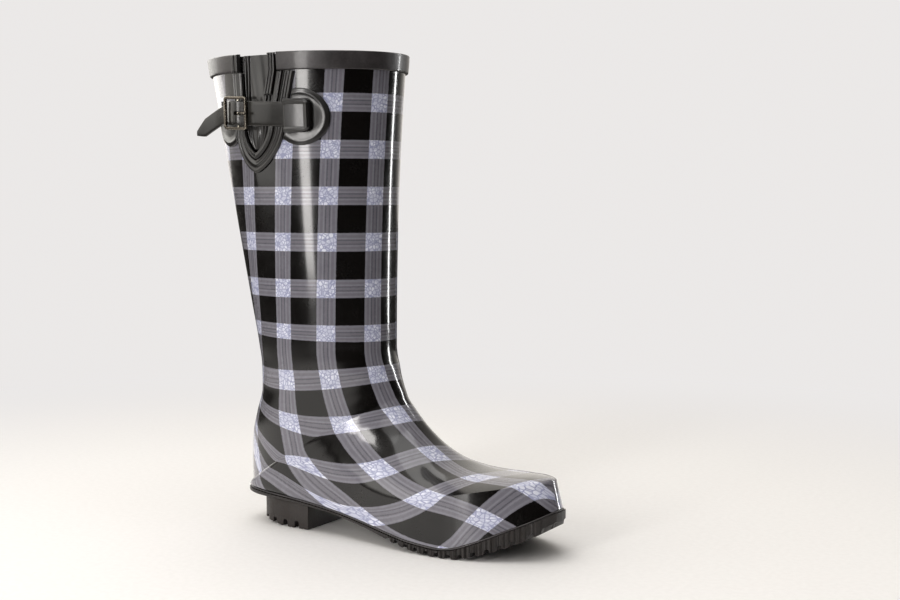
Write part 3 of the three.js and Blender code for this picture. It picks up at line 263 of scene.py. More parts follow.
@dataclass(frozen=True)
class BootForm:
    """The outside of the boot as a fan of cross-sections, in millimetres from the heel's back.

    A place is a row, counted from the top edge down the shaft and on to the toe, and a share, from
    0 on the front line to 1 on the lower edge or the back seam, negative on the outer side.
    """

    height: float = 380.5
    rim_front: float = 141.0
    rim_back: float = -35.0
    rim_half: float = 60.0
    ankle_height: float = 150.0
    ankle_front: float = 131.6
    ankle_back: float = 11.6
    ankle_half: float = 47.5
    flare: float = 2.2
    foot_length: float = 285.0
    foot_breadth: float = 100.0
    shell_wall: float = 2.4
    lining_wall: float = 1.4
    stiffener_wall: float = 1.0
    layer_gap: float = 0.35
    lip: float = 1.4
    toe_crease_from: float = 0.63
    toe_crease_full: float = 0.78
    toe_tip_soft: float = 0.7

    @property
    def shell_top(self) -> float:
        """Height of the rubber's top edge, under the rim band's lip."""
        return self.height - self.lip - self.layer_gap

    @property
    def heel_row(self) -> int:
        """The row where the back seam meets the lower edge."""
        return len(SHAFT_ROWS) + 5

    @property
    def last_row(self) -> int:
        """The row at the tip of the toe."""
        return len(SHAFT_ROWS) + len(FOOT_SECTIONS) - 1

    def shaft_at(self, z: Values) -> tuple[Values, Values, Values]:
        """The shaft's outline at a height.

        Args:
            z: A height or an array of heights.

        Returns:
            The outline's centre, half length and half width.
        """
        t = (np.asarray(z, dtype=float) - self.ankle_height) / (self.height - self.ankle_height)
        front = self.ankle_front + (self.rim_front - self.ankle_front) * np.maximum(0, t) ** self.flare
        back = lerp(self.ankle_back, self.rim_back, t)
        half = lerp(self.ankle_half, self.rim_half, t)
        return (front + back) / 2, (front - back) / 2, half

    def knots(self) -> Array:
        """The measures of every section, one section in each row."""
        rows = []
        for t in SHAFT_ROWS:
            z = lerp(self.shell_top, self.ankle_height, t)
            centre, length, half = self.shaft_at(z)
            rows.append((centre + length, z, centre - length, z, 0.5, half, half, 0, 0, 0, 2))
        scale = np.array([self.foot_length if name in LENGTH_FIELDS
                else self.foot_breadth / 2 if name in BREADTH_FIELDS else 1
                for name in SECTION_FIELDS])
        return np.vstack([np.array(rows), np.array(FOOT_SECTIONS) * scale])

    def sections(self, rows: Values) -> dict[str, Array]:
        """The measures of the sections at any rows, whole or in between.

        Args:
            rows: An array of row numbers.

        Returns:
            Each measure by name.
        """
        knots = self.knots()
        whole, heel = self._tangents(knots), self.heel_row
        start, end = whole.copy(), whole.copy()
        edges = [SECTION_FIELDS.index(name) for name in ("outer_edge", "inner_edge")]
        start[heel, edges] = self._tangents(knots[heel:])[0, edges]
        rows = np.clip(np.asarray(rows, dtype=float), 0, self.last_row)
        k = np.minimum(rows.astype(int), self.last_row - 1)
        t = (rows - k)[..., None]
        values = ((2 * t ** 3 - 3 * t ** 2 + 1) * knots[k] + (3 * t ** 2 - 2 * t ** 3) * knots[k + 1]
            + (t ** 3 - 2 * t ** 2 + t) * start[k] + (t ** 3 - t ** 2) * end[k + 1])
        return {name: values[..., i] for i, name in enumerate(SECTION_FIELDS)}

    @staticmethod
    def _tangents(knots: Array) -> Array:
        """Slopes at the knots that keep the curves between them free of waves."""
        step = np.diff(knots, axis=0)
        a, b = step[:-1], step[1:]
        inner = np.where(a * b > 0, 2 * a * b / np.where(a + b == 0, 1, a + b), 0)
        first, last = (3 * step[0] - step[1]) / 2, (3 * step[-1] - step[-2]) / 2
        first = np.where(first * step[0] > 0, first, 0)
        last = np.where(last * step[-1] > 0, last, 0)
        return np.vstack([first, inner, last])

    def inset(self, rows: Values, depth: Values, lift: Values = 0.0) -> dict[str, Array]:
        """Sections moved inwards, with their lower edges raised.

        Args:
            rows: An array of row numbers.
            depth: How far in.
            lift: How far up the lower edge goes.

        Returns:
            Each measure by name.
        """
        at = self.sections(rows)
        before, after = self.sections(rows - 0.6), self.sections(rows + 0.6)
        along = unit(np.stack([after["front_x"] - before["front_x"], after["front_z"] - before["front_z"]], axis=-1))
        at["front_x"] = at["front_x"] + along[..., 1] * depth
        at["front_z"] = at["front_z"] - along[..., 0] * depth
        at["edge_x"] = at["edge_x"] + depth * (1 - 2 * np.clip(at["edge_x"] / self.foot_length, 0, 1))
        at["edge_z"] = at["edge_z"] + lift
        edge = narrowing(depth, (at["outer_edge"] + at["inner_edge"]) / 2)
        side = narrowing(depth, (at["outer"] + at["inner"]) / 2)
        for name, move in (("outer", side), ("inner", side), ("outer_edge", edge), ("inner_edge", edge)):
            at[name] = at[name] - move
        return at

    def points(self, at: dict[str, Array], share: Array) -> Array:
        """Places on sections.

        Args:
            at: The sections' measures.
            share: The shares, for each column or each place.

        Returns:
            The points, as a grid.
        """
        one = {name: value[:, None] for name, value in at.items()}
        share = np.broadcast_to(share, (len(at["wide"]), np.shape(share)[-1]))
        outer_side, reach = share < 0, np.abs(share)
        side = np.where(outer_side, -one["outer"], one["inner"])
        edge = np.where(outer_side, -one["outer_edge"], one["inner_edge"])
        share = one["front_x"] / self.foot_length
        crease = ramp(share, self.toe_crease_from, self.toe_crease_full)
        crease = crease * (1 - self.toe_tip_soft * ramp(share, 0.9, 0.99))
        upper, lower = np.minimum(reach, 0.5), np.maximum(reach - 0.5, 0)
        across = lerp(np.sin(upper * math.pi), 2 * upper, crease)
        fall = lerp(1 - np.cos(upper * math.pi), (2 * upper) ** 2.4, crease)
        power = 2 / one["round"]
        tuck = np.maximum(0, np.cos(lower * math.pi)) ** power
        sink = np.maximum(0, np.sin(lower * math.pi)) ** power
        y = np.where(reach <= 0.5, lerp(one["crest"], side, across), lerp(edge, side, tuck))
        drop = np.where(reach <= 0.5, one["wide"] * fall, lerp(one["wide"], 1, sink))
        x = lerp(one["front_x"], one["edge_x"], drop)
        return np.stack([x, y, lerp(one["front_z"], one["edge_z"], drop)], axis=-1)

    def layer(self, rows: Array, shares: Array, depth: Values, lift: float = 0.0) -> Array:
        """A layer of the wall at a depth.

        Args:
            rows: The rows, in order.
            shares: The shares, in order.
            depth: How far in.
            lift: How far above the lower edge the layer ends.

        Returns:
            The points, as a grid.
        """
        depth = np.broadcast_to(depth, rows.shape)
        raised = np.where(rows <= self.heel_row, lift * np.clip(rows - self.heel_row + 1, 0, 1), 0)
        at = self.inset(rows, depth, raised)
        ends = np.ones((len(rows), 2))
        if lift:
            for column, side in enumerate((-1, 1)):
                low, high = np.full(len(rows), 0.5), np.ones(len(rows))
                for _ in range(22):
                    middle = (low + high) / 2
                    above = self.points(at, (side * middle)[:, None])[:, 0, 2] > at["edge_z"] + lift
                    low, high = np.where(above, middle, low), np.where(above, high, middle)
                ends[:, column] = np.where(rows > self.heel_row, low, 1)
        scaled = np.where(shares[None, :] < 0, ends[:, :1], ends[:, 1:]) * shares[None, :]
        return self.points(at, scaled)

    def fine_rows(self, count: int, first: float = 0.0, last: float | None = None) -> Array:
        """Rows that lie evenly along the boot.

        Args:
            count: How many rows.
            first: The first row.
            last: The last row, or None for the toe.

        Returns:
            The row numbers.
        """
        rows = np.linspace(first, self.last_row if last is None else last, 900)
        lines = self.points(self.sections(rows), np.array([-1.0, -0.5, 0.0, 0.5, 1.0]))
        along = run_length(lines).mean(axis=1)
        return np.interp(np.linspace(0, along[-1], count), along, rows)

    def on_shaft(self, x: Values, z: Values, height: Values) -> Array:
        """Places on the shaft's outer side, raised above the rubber.

        Args:
            x: Stations.
            z: Heights above the floor.
            height: How far above the rubber.

        Returns:
            The points.
        """
        x, z, height = np.broadcast_arrays(np.asarray(x, float), np.asarray(z, float), np.asarray(height, float))
        centre, length, half = self.shaft_at(z)
        y = -half * np.sqrt(np.maximum(0, 1 - ((x - centre) / length) ** 2))

        def level(px: Values, py: Values, pz: Values) -> Values:
            """How far out of the shaft's outline a place lies."""
            c, l, h = self.shaft_at(pz)
            return ((px - c) / l) ** 2 + (py / h) ** 2

        step = 0.01
        slope = np.stack([level(x + step, y, z) - level(x - step, y, z),
                level(x, y + step, z) - level(x, y - step, z),
                level(x, y, z + step) - level(x, y, z - step)], axis=-1)
        return np.stack([x, y, z], axis=-1) + unit(slope) * height[..., None]


@dataclass(frozen=True)
class CheckLayout:
    """Where the printed check's bands lie on the rubber.

    Bands across the boot start on the front line, each at a distance from the top edge, and fall as
    they go round the foot. Bands along the boot keep their distances from the front line.
    """

    across: tuple[Pair, ...] = (
        (1.5, 0.0), (37.5, 0.0), (73.5, 0.0), (109.5, 0.0), (145.5, 0.0), (182.0, 0.0), (218.0, 0.0),
        (250.0, 0.06), (286.0, 0.27), (331.0, 0.50), (388.0, 0.84), (428.0, 0.72), (468.0, 0.65))
    first: int = -7
    front: tuple[Pair, ...] = ((0, 17), (250, 18), (290, 16), (330, 16.5), (370, 23), (412, 20))
    side: tuple[Pair, ...] = ((0, 55), (240, 56.5), (300, 57), (345, 58), (385, 62))
    rear: tuple[Pair, ...] = ((0, 93), (235, 94), (262, 103), (280, 110), (302, 101), (340, 99))
    back: tuple[Pair, ...] = ((0, 131), (200, 131), (235, 137), (262, 162), (300, 178))
    pitch: float = 37.6

    def place(self, down: Array, round_leg: Array) -> Array:
        """The check's own coordinates, where every whole number is the middle of a band.

        Args:
            down: Distance from the top edge.
            round_leg: Distance round the leg, positive on the outer side.

        Returns:
            Both coordinates and a zero.
        """
        front, side, rear, back = (monotone(knots, down) for knots in (self.front, self.side, self.rear, self.back))
        g = round_leg
        along = np.where(g < front, (g - front) / self.pitch, np.where(
            g < side, (g - front) / (side - front), np.where(
                g < rear, 1 + (g - side) / (rear - side), 2 + (g - rear) / (back - rear))))
        reach = np.hypot(g + 10, 12) - math.hypot(10, 12)
        starts = np.array([start for start, _ in self.across])
        falls = np.array([fall for _, fall in self.across])
        lines = starts - falls * reach[..., None]
        k = np.clip((lines <= down[..., None]).sum(axis=-1) - 1, 0, len(starts) - 2)
        low = np.take_along_axis(lines, k[..., None], -1)[..., 0]
        high = np.take_along_axis(lines, k[..., None] + 1, -1)[..., 0]
        return np.stack([along, self.first + k + (down - low) / (high - low), np.zeros_like(down)], axis=-1)


@dataclass(frozen=True)
class Shield:
    """The outline of the gusset's shield on the outer side of the shaft, in millimetres."""

    centre: float = 47.5
    half: float = 25.2
    shoulder: float = 325.0
    tip: float = 287.5
    lean: float = 0.11
    spread: float = 0.117
    front_share: float = 0.56
    trim_band: float = 8.2
    ridge_band: float = 4.6
    gap: float = 0.5

    @property
    def opening(self) -> float:
        """How far inside the outline the slot in the rubber starts."""
        return self.trim_band + self.ridge_band + self.gap

    def tip_at(self, inset: Values) -> Values:
        """Height of the lowest point for an inset."""
        return self.tip + 1.25 * np.asarray(inset, dtype=float)

    def half_at(self, z: Values, inset: Values) -> Values:
        """Half width at a height for an inset."""
        drop = np.clip((self.shoulder - z) / (self.shoulder - self.tip_at(inset)), 0, 1)
        return (self.half - inset) * (1 - drop ** 2) ** 0.7 + self.spread * np.maximum(0, z - self.shoulder)

    def middle_at(self, z: Values, inset: Values) -> Values:
        """Station of the leaning middle line at a height for an inset."""
        return self.centre + self.lean * (z - self.shoulder) - (self.front_share * 2 - 1) * inset

    def path(self, inset: float, top: float, straight: int = 14, curve: int = 44) -> Array:
        """The outline from its upper left round the tip to its upper right.

        Args:
            inset: How far inside the shield's edge it runs.
            top: The height where it ends.
            straight: Steps along each arm.
            curve: Steps along each half of the curve.

        Returns:
            Stations and heights.
        """
        angles = np.linspace(0, math.pi / 2, curve + 1)[1:]
        z = np.concatenate([np.linspace(top, self.shoulder, straight + 1),
                lerp(self.shoulder, self.tip_at(inset), np.sin(angles))])
        half, middle = self.half_at(z, inset), self.middle_at(z, inset)
        left = np.stack([middle - half, z], axis=1)
        right = np.stack([middle + half, z], axis=1)[:-1][::-1]
        return np.vstack([left, right])

    def depth_inside(self, x: Values, z: Values) -> Values:
        """How far inside the shield's outline a place lies."""
        aside = self.half_at(z, 0.0) - np.abs(x - self.middle_at(z, 0.0))
        above = (z - self.tip) / 1.25
        return np.where((z > self.tip) & (aside > 0), np.minimum(aside, above), -1)


@dataclass(frozen=True)
class StrapFrame:
    """The buckle's own axes: x towards the front, y up the strap, z out of the leg."""

    form: BootForm
    station: float = 31.0
    height: float = 335.0
    pitch: float = 0.066

    def axes(self) -> tuple[Array, Array, Array, Array]:
        """The frame's origin and its three directions."""
        origin = self.form.on_shaft(self.station, self.height, 0)
        out = self.form.on_shaft(self.station, self.height, 1) - origin
        front = -unit(np.cross([0, 0, 1], out))
        front = front if front[0] > 0 else -front
        up = np.cross(out, front)
        front = unit(front - up * self.pitch)
        return origin, front, np.cross(out, front), out

    def place(self, local: Array) -> Array:
        """Points of the buckle's frame in the boot's frame."""
        origin, front, up, out = self.axes()
        return origin + local[..., :1] * front + local[..., 1:2] * up + local[..., 2:] * out

    def measure(self, points: Array) -> Array:
        """Points of the boot's frame in the buckle's frame."""
        origin, front, up, out = self.axes()
        return (points - origin) @ np.stack([front, up, out], axis=1)

    def strap_height(self, x: Values) -> Values:
        """Height of the strap's middle line at a station."""
        return self.height - (np.asarray(x, dtype=float) - self.station) * self.pitch


@dataclass(frozen=True)
class Heights:
    """How far above the rubber the gusset's, strap's and buckle's layers lie, in millimetres."""

    surface: float = 0.4
    trim: float = 1.6
    ridge: float = 2.1
    play: float = 0.3
    pin: float = 1.0
    tab: float = 1.2
    strap: float = 2.0
    buckle_play: float = 1.0
    bar: float = 2.2

    @property
    def tab_low(self) -> float:
        """Underside of the tab."""
        return self.surface + self.ridge + self.play + 0.1

    @property
    def pin_middle(self) -> float:
        """Middle of the buckle's pin."""
        return self.tab_low + self.tab + self.play + self.pin

    @property
    def strap_rest(self) -> float:
        """Middle of the strap where it lies on the leg."""
        return self.surface + self.ridge + 0.5 + self.strap / 2

    @property
    def strap_crest(self) -> float:
        """Middle of the strap where it passes over the pin."""
        return self.pin_middle + self.pin + self.play * 2 + self.tab + 0.1 + self.strap / 2

    @property
    def strap_rear(self) -> float:
        """Middle of the strap where it leaves the buckle at the back."""
        return self.tab_low + self.tab * 2 + self.play * 2 + self.strap / 2

    def bar_over(self, strap_middle: float) -> float:
        """Middle of a buckle bar that lies over the strap."""
        return strap_middle + self.strap / 2 + self.buckle_play + self.bar / 2


# Making meshes.


@dataclass
class Workshop:
    """Turns points in the boot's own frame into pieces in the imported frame."""

    form: BootForm
    shift: Array = field(default_factory=lambda: np.zeros(3))

    def find_place(self) -> None:
        """Reads where the boot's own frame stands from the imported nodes."""
        _, shell_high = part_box("upper_shell")
        lining_low, lining_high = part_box("lining")
        self.shift = np.array([
            shell_high[0] * 1000 - self.form.foot_length,
            (lining_low[1] + lining_high[1]) * 500,
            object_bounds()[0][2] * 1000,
        ])

    def metres(self, points: Array) -> Array:
        """Points of the boot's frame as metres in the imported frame."""
        return (np.asarray(points, dtype=float) + self.shift) / 1000

    def mesh(self, name: str, points: Array, faces: Iterable[Sequence[int]],
            marks: dict[str, Array] | None = None, crease: float = 42.0) -> Piece:
        """A piece from points and faces, with points that coincide joined.

        Args:
            name: Its name.
            points: One point in each row, in millimetres.
            faces: Indices of each face's points.
            marks: Vectors to keep on the points, by name.
            crease: The least bend of a sharp edge, in degrees.

        Returns:
            The piece.
        """
        keys = np.round(points / 2e-3).astype(np.int64)
        _, first, index = np.unique(keys, axis=0, return_index=True, return_inverse=True)
        index = index.reshape(-1)
        kept, seen = [], set()
        for face in faces:
            ids = []
            for k in index[list(face)]:
                if not ids or (ids[-1] != k and ids[0] != k):
                    ids.append(int(k))
            key = tuple(sorted(ids))
            if len(ids) > 2 and len(set(ids)) == len(ids) and key not in seen:
                seen.add(key)
                kept.append(ids)
        data = bpy.data.meshes.new(name)
        data.from_pydata(self.metres(points[first]).tolist(), [], kept)
        for mark, values in (marks or {}).items():
            attribute = data.attributes.new(mark, "FLOAT_VECTOR", "POINT")
            attribute.data.foreach_set("vector", values[first].astype(np.float32).ravel())
        shape = bmesh.new()
        shape.from_mesh(data)
        loose = [v for v in shape.verts if not v.link_faces]
        bmesh.ops.delete(shape, geom=loose, context="VERTS")
        bmesh.ops.recalc_face_normals(shape, faces=shape.faces)
        shape.to_mesh(data)
        shape.free()
        return self.add(name, data, crease)

    def add(self, name: str, data: bpy.types.Mesh, crease: float) -> Piece:
        """A piece that shows a mesh, shaded smooth but for its sharp edges.

        Args:
            name: Its name.
            data: The mesh.
            crease: The least bend of a sharp edge, in degrees.

        Returns:
            The piece.
        """
        data.shade_smooth()
        data.set_sharp_from_angle(angle=math.radians(crease))
        piece = bpy.data.objects.new(name, data)
        bpy.context.scene.collection.objects.link(piece)
        return piece

    def slab(self, name: str, top: Array, low: Array, keep: Array | None = None,
            marks: dict[str, Array] | None = None, crease: float = 42.0,
            open_ends: tuple[bool, bool] = (False, False), sides_from: int = 0) -> Piece:
        """A closed piece between two matching grids of points.

        Args:
            name: Its name.
            top: The outer grid.
            low: The inner grid.
            keep: Which cells are there, or None for all.
            marks: Grids of vectors to keep on the points.
            crease: The least bend of a sharp edge, in degrees.
            open_ends: Whether the first and last rows have no wall.
            sides_from: The row where the side walls start.

        Returns:
            The piece.
        """
        rows, columns = top.shape[:2]
        keep = np.ones((rows - 1, columns - 1), bool) if keep is None else keep
        ids = np.arange(rows * columns).reshape(rows, columns)
        under = ids + rows * columns
        padded = np.zeros((rows + 1, columns + 1), bool)
        padded[1:-1, 1:-1] = keep
        faces = []
        for i, j in zip(*np.nonzero(keep)):
            faces.append((ids[i, j], ids[i + 1, j], ids[i + 1, j + 1], ids[i, j + 1]))
            faces.append((under[i, j], under[i, j + 1], under[i + 1, j + 1], under[i + 1, j]))
            for gone, a, b, end in (
                (not padded[i, j + 1], (i, j), (i, j + 1), i == 0 and open_ends[0]),
                (not padded[i + 2, j + 1], (i + 1, j + 1), (i + 1, j), i == rows - 2 and open_ends[1]),
                (not padded[i + 1, j], (i + 1, j), (i, j), j == 0 and i < sides_from),
                (not padded[i + 1, j + 2], (i, j + 1), (i + 1, j + 1), j == columns - 2 and i < sides_from),
            ):
                if gone and not end:
                    faces.append((ids[a], ids[b], under[b], under[a]))
        points = np.concatenate([top.reshape(-1, 3), low.reshape(-1, 3)])
        doubled = {mark: np.concatenate([grid.reshape(-1, 3)] * 2) for mark, grid in (marks or {}).items()}
        return self.mesh(name, points, faces, doubled, crease)

    def sweep(self, name: str, loops: Array, closed: bool = False, crease: float = 42.0) -> Piece:
        """A closed piece swept through matching loops of points.

        Args:
            name: Its name.
            loops: The loops, one after another along the sweep.
            closed: Whether the last loop joins the first.
            crease: The least bend of a sharp edge, in degrees.

        Returns:
            The piece.
        """
        count, around = loops.shape[:2]
        ids = np.arange(count * around).reshape(count, around)
        spans = count if closed else count - 1
        faces = [(ids[i, j], ids[(i + 1) % count, j], ids[(i + 1) % count, (j + 1) % around], ids[i, (j + 1) % around])
            for i in range(spans) for j in range(around)]
        if not closed:
            faces += [tuple(ids[0]), tuple(ids[-1][::-1])]
        return self.mesh(name, loops.reshape(-1, 3), faces, crease=crease)

    def join(self, name: str, parts: Sequence[Piece]) -> Piece:
        """Several meshes as one piece."""
        shape = bmesh.new()
        for part in parts:
            shape.from_mesh(part.data)
        data = bpy.data.meshes.new(name)
        shape.to_mesh(data)
        shape.free()
        for part in parts:
            bpy.data.objects.remove(part)
        return self.add(name, data, 38)

    def soften(self, piece: Piece, width: float) -> None:
        """Rounds a piece's sharp edges and applies the result to its mesh.

        Args:
            piece: The piece to round.
            width: The rounding's width, in millimetres.
        """
        bevel = piece.modifiers.new("rounding", "BEVEL")
        bevel.width, bevel.segments = width / 1000, 2
        bevel.limit_method, bevel.angle_limit = "ANGLE", math.radians(32)
        bevel.use_clamp_overlap = True
        graph = bpy.context.evaluated_depsgraph_get()
        data = bpy.data.meshes.new_from_object(piece.evaluated_get(graph))
        piece.modifiers.clear()
        old, piece.data = piece.data, data
        bpy.data.meshes.remove(old)
        data.name = piece.name
        data.shade_smooth()
        data.set_sharp_from_angle(angle=math.radians(50))


# Finishes.


class Slot(Enum):
    """The material slots that the pieces take their finishes from."""

    CHECK = "plaid_rubber"
    TRIM = "trim_rubber"
    BAND = "band_rubber"
    SOLE = "sole_rubber"
    LINING = "lining_fabric"
    STIFFENER = "stiffener_board"
    BOARD = "fibre_board"
    STEEL = "shank_steel"
    FOOTBED = "footbed_foam"
    STRAP = "strap_rubber"
    METAL = "antique_metal"


def shade(colour: Colour, level: float = 1.0) -> tuple[float, float, float, float]:
    """A colour given as it looks on a screen, or a share of it, as the shader takes it."""
    linear = [c / 12.92 if c <= 0.04045 else ((c + 0.055) / 1.055) ** 2.4 for c in (c * level for c in colour)]
    return (*linear, 1.0)


class Wiring:
    """Adds nodes to a material's or a group's tree and joins them."""

    def __init__(self, tree: NodeTree) -> None:
        """Takes the tree to work on."""
        self.tree = tree

    def add(self, kind: str, values: dict | None = None, **settings: object) -> Node:
        """A new node.

        Args:
            kind: The node's type, without its prefix.
            values: Input values or sockets, by name or number.
            **settings: Its own settings.

        Returns:
            The node.
        """
        node = self.tree.nodes.new(kind if kind.startswith("NodeGroup") else "ShaderNode" + kind)
        for name, value in settings.items():
            setattr(node, name, value)
        for name, value in (values or {}).items():
            if isinstance(value, Socket):
                self.feed(value, node, name)
            else:
                node.inputs[name].default_value = value
        return node

    def sum(self, operation: str, *terms: Feed, clamp: bool = False) -> Socket:
        """The result of an arithmetic node."""
        return self.add("Math", dict(enumerate(terms)), operation=operation, use_clamp=clamp).outputs[0]

    def times(self, a: Feed, b: Feed, clamp: bool = False) -> Socket:
        """One value times another."""
        return self.sum("MULTIPLY", a, b, clamp=clamp)

    def plus(self, a: Feed, b: Feed) -> Socket:
        """One value and another."""
        return self.sum("ADD", a, b)

    def fix(self, node: Node, values: dict[str, float]) -> None:
        """Sets inputs of a node."""
        for name, value in values.items():
            node.inputs[name].default_value = value

    def feed(self, value: Socket, node: Node, name: str | int = 0) -> None:
        """Joins a value to an input of a node."""
        self.tree.links.new(value, node.inputs[name])

    def fit(self, value: Feed, low: float, high: float, to_low: float = 0.0, to_high: float = 1.0,
            smooth: bool = True) -> Socket:
        """A value carried from one range to another."""
        node = self.add("MapRange", {"Value": value, "From Min": low, "From Max": high,
                "To Min": to_low, "To Max": to_high},
            interpolation_type="SMOOTHSTEP" if smooth else "LINEAR", clamp=True)
        return node.outputs[0]

    def mix(self, share: Feed, a: Feed, b: Feed) -> Socket:
        """Two colours mixed by a share."""
        node = self.add("Mix", data_type="RGBA")
        for index, value in ((0, share), (6, a), (7, b)):
            if isinstance(value, Socket):
                self.feed(value, node, index)
            else:
                node.inputs[index].default_value = value
        return node.outputs[2]

    def spot(self) -> Socket:
        """The place on the surface, in the object's own metres."""
        return self.add("TexCoord").outputs["Object"]

    def noise(self, scale: Feed, detail: float = 3.0, where: Socket | None = None, rough: float = 0.55) -> Socket:
        """Soft noise over the surface."""
        place = where or self.spot()
        return self.add("TexNoise", {"Vector": place, "Scale": scale, "Detail": detail,
                "Roughness": rough}).outputs[0]


class Effect(Enum):
    """Effects that several finishes share, each built once as a node group."""

    MOTTLE = "surface_mottle"
    RIPPLE = "moulded_ripple"
    RUB = "edge_rub"
    DUST = "settled_dust"


class Effects:
    """Builds the shared node groups and places them in materials."""

    def __init__(self) -> None:
        """Starts with no groups built."""
        self.groups: dict[Effect, NodeTree] = {}

    def _start(self, effect: Effect, inputs: dict[str, float], outputs: Sequence[str]) -> tuple[Wiring, dict, dict]:
        """A new group with named sockets.

        Args:
            effect: Which effect it is.
            inputs: Input names with their usual values.
            outputs: Output names.

        Returns:
            The wiring and the sockets at both ends.
        """
        tree = bpy.data.node_groups.new(effect.value, "ShaderNodeTree")
        for name, value in inputs.items():
            tree.interface.new_socket(name, in_out="INPUT", socket_type="NodeSocketFloat").default_value = value
        for name in outputs:
            tree.interface.new_socket(name, in_out="OUTPUT", socket_type="NodeSocketFloat")
        wiring = Wiring(tree)
        start, end = wiring.add("NodeGroupInput"), wiring.add("NodeGroupOutput")
        self.groups[effect] = tree
        return wiring, {name: start.outputs[name] for name in inputs}, {name: end.inputs[name] for name in outputs}

    def _mottle(self) -> None:
        """Patches of slightly different tone, large and small together."""
        w, given, out = self._start(Effect.MOTTLE, {"Scale": 60.0, "Low": 0.0, "High": 1.0}, ("Value",))
        place = w.spot()
        broad = w.noise(given["Scale"], 4.0, place, 0.5)
        fine_scale = w.times(given["Scale"], 9.0)
        fine = w.noise(fine_scale, 2.0, place, 0.5)
        both = w.plus(w.times(broad, 0.7), w.times(fine, 0.3))
        shaped = w.fit(both, 0.36, 0.64)
        span = w.sum("SUBTRACT", given["High"], given["Low"])
        w.tree.links.new(w.plus(w.times(shaped, span), given["Low"]), out["Value"])

    def _ripple(self) -> None:
        """The slow waves and fine orange peel of dipped and moulded rubber, as a height."""
        w, given, out = self._start(Effect.RIPPLE, {"Wave": 1.0, "Peel": 1.0}, ("Height",))
        place = w.spot()
        wave = w.noise(26.0, 2.0, place, 0.5)
        peel = w.noise(620.0, 2.0, place, 0.5)
        slow = w.times(wave, given["Wave"])
        quick = w.times(w.times(peel, 0.035), given["Peel"])
        w.tree.links.new(w.plus(slow, quick), out["Height"])

    def _rub(self) -> None:
        """A mask of corners that handling has rubbed."""
        w, given, out = self._start(Effect.RUB, {"Start": 0.53, "Reach": 0.08, "Break": 0.5}, ("Mask",))
        point = w.add("NewGeometry").outputs["Pointiness"]
        place = w.spot()
        noise = w.noise(480.0, 3.0, place, 0.5)
        raised = w.sum("DIVIDE", w.sum("SUBTRACT", point, given["Start"]), given["Reach"], clamp=True)
        gaps = w.sum("SUBTRACT", 1.0, w.times(w.fit(noise, 0.42, 0.6), given["Break"]))
        w.tree.links.new(w.times(raised, gaps, clamp=True), out["Mask"])

    def _dust(self) -> None:
        """A mask of fine dust that has settled on level places."""
        w, given, out = self._start(Effect.DUST, {"Amount": 0.3, "Scale": 90.0}, ("Mask",))
        normal = w.add("NewGeometry").outputs["Normal"]
        level = w.fit(w.add("SeparateXYZ", {0: normal}).outputs[2], 0.25, 0.95)
        place = w.spot()
        noise = w.noise(given["Scale"], 5.0, place, 0.5)
        patch = w.fit(noise, 0.35, 0.7)
        w.tree.links.new(w.times(w.times(level, patch), given["Amount"], clamp=True), out["Mask"])

    def place(self, wiring: Wiring, effect: Effect, **values: float) -> Socket:
        """Puts an effect in a material.

        Args:
            wiring: The material's wiring.
            effect: Which effect.
            **values: The effect's inputs by name.

        Returns:
            The effect's output.
        """
        if effect not in self.groups:
            {Effect.MOTTLE: self._mottle, Effect.RIPPLE: self._ripple,
             Effect.RUB: self._rub, Effect.DUST: self._dust}[effect]()
        node = wiring.add("Group")
        node.node_tree = self.groups[effect]
        for name, value in values.items():
            node.inputs[name].default_value = value
        return node.outputs[0]


@dataclass(frozen=True)
class Finish:
    """What every finish has: a name, and the way it starts its material."""

    name: str

    def build(self, effects: Effects) -> Material:
        """Makes the material."""
        material = bpy.data.materials.new(self.name)
        material.use_nodes = True
        self.wire(Wiring(material.node_tree), material.node_tree.nodes["Principled BSDF"], effects)
        return material

    def bump(self, w: Wiring, shader: Node, height: Feed, strength: float, distance: float) -> None:
        """Feeds a height to the shader's normal."""
        node = w.add("Bump", {"Height": height, "Strength": strength, "Distance": distance})
        w.feed(node.outputs[0], shader, "Normal")


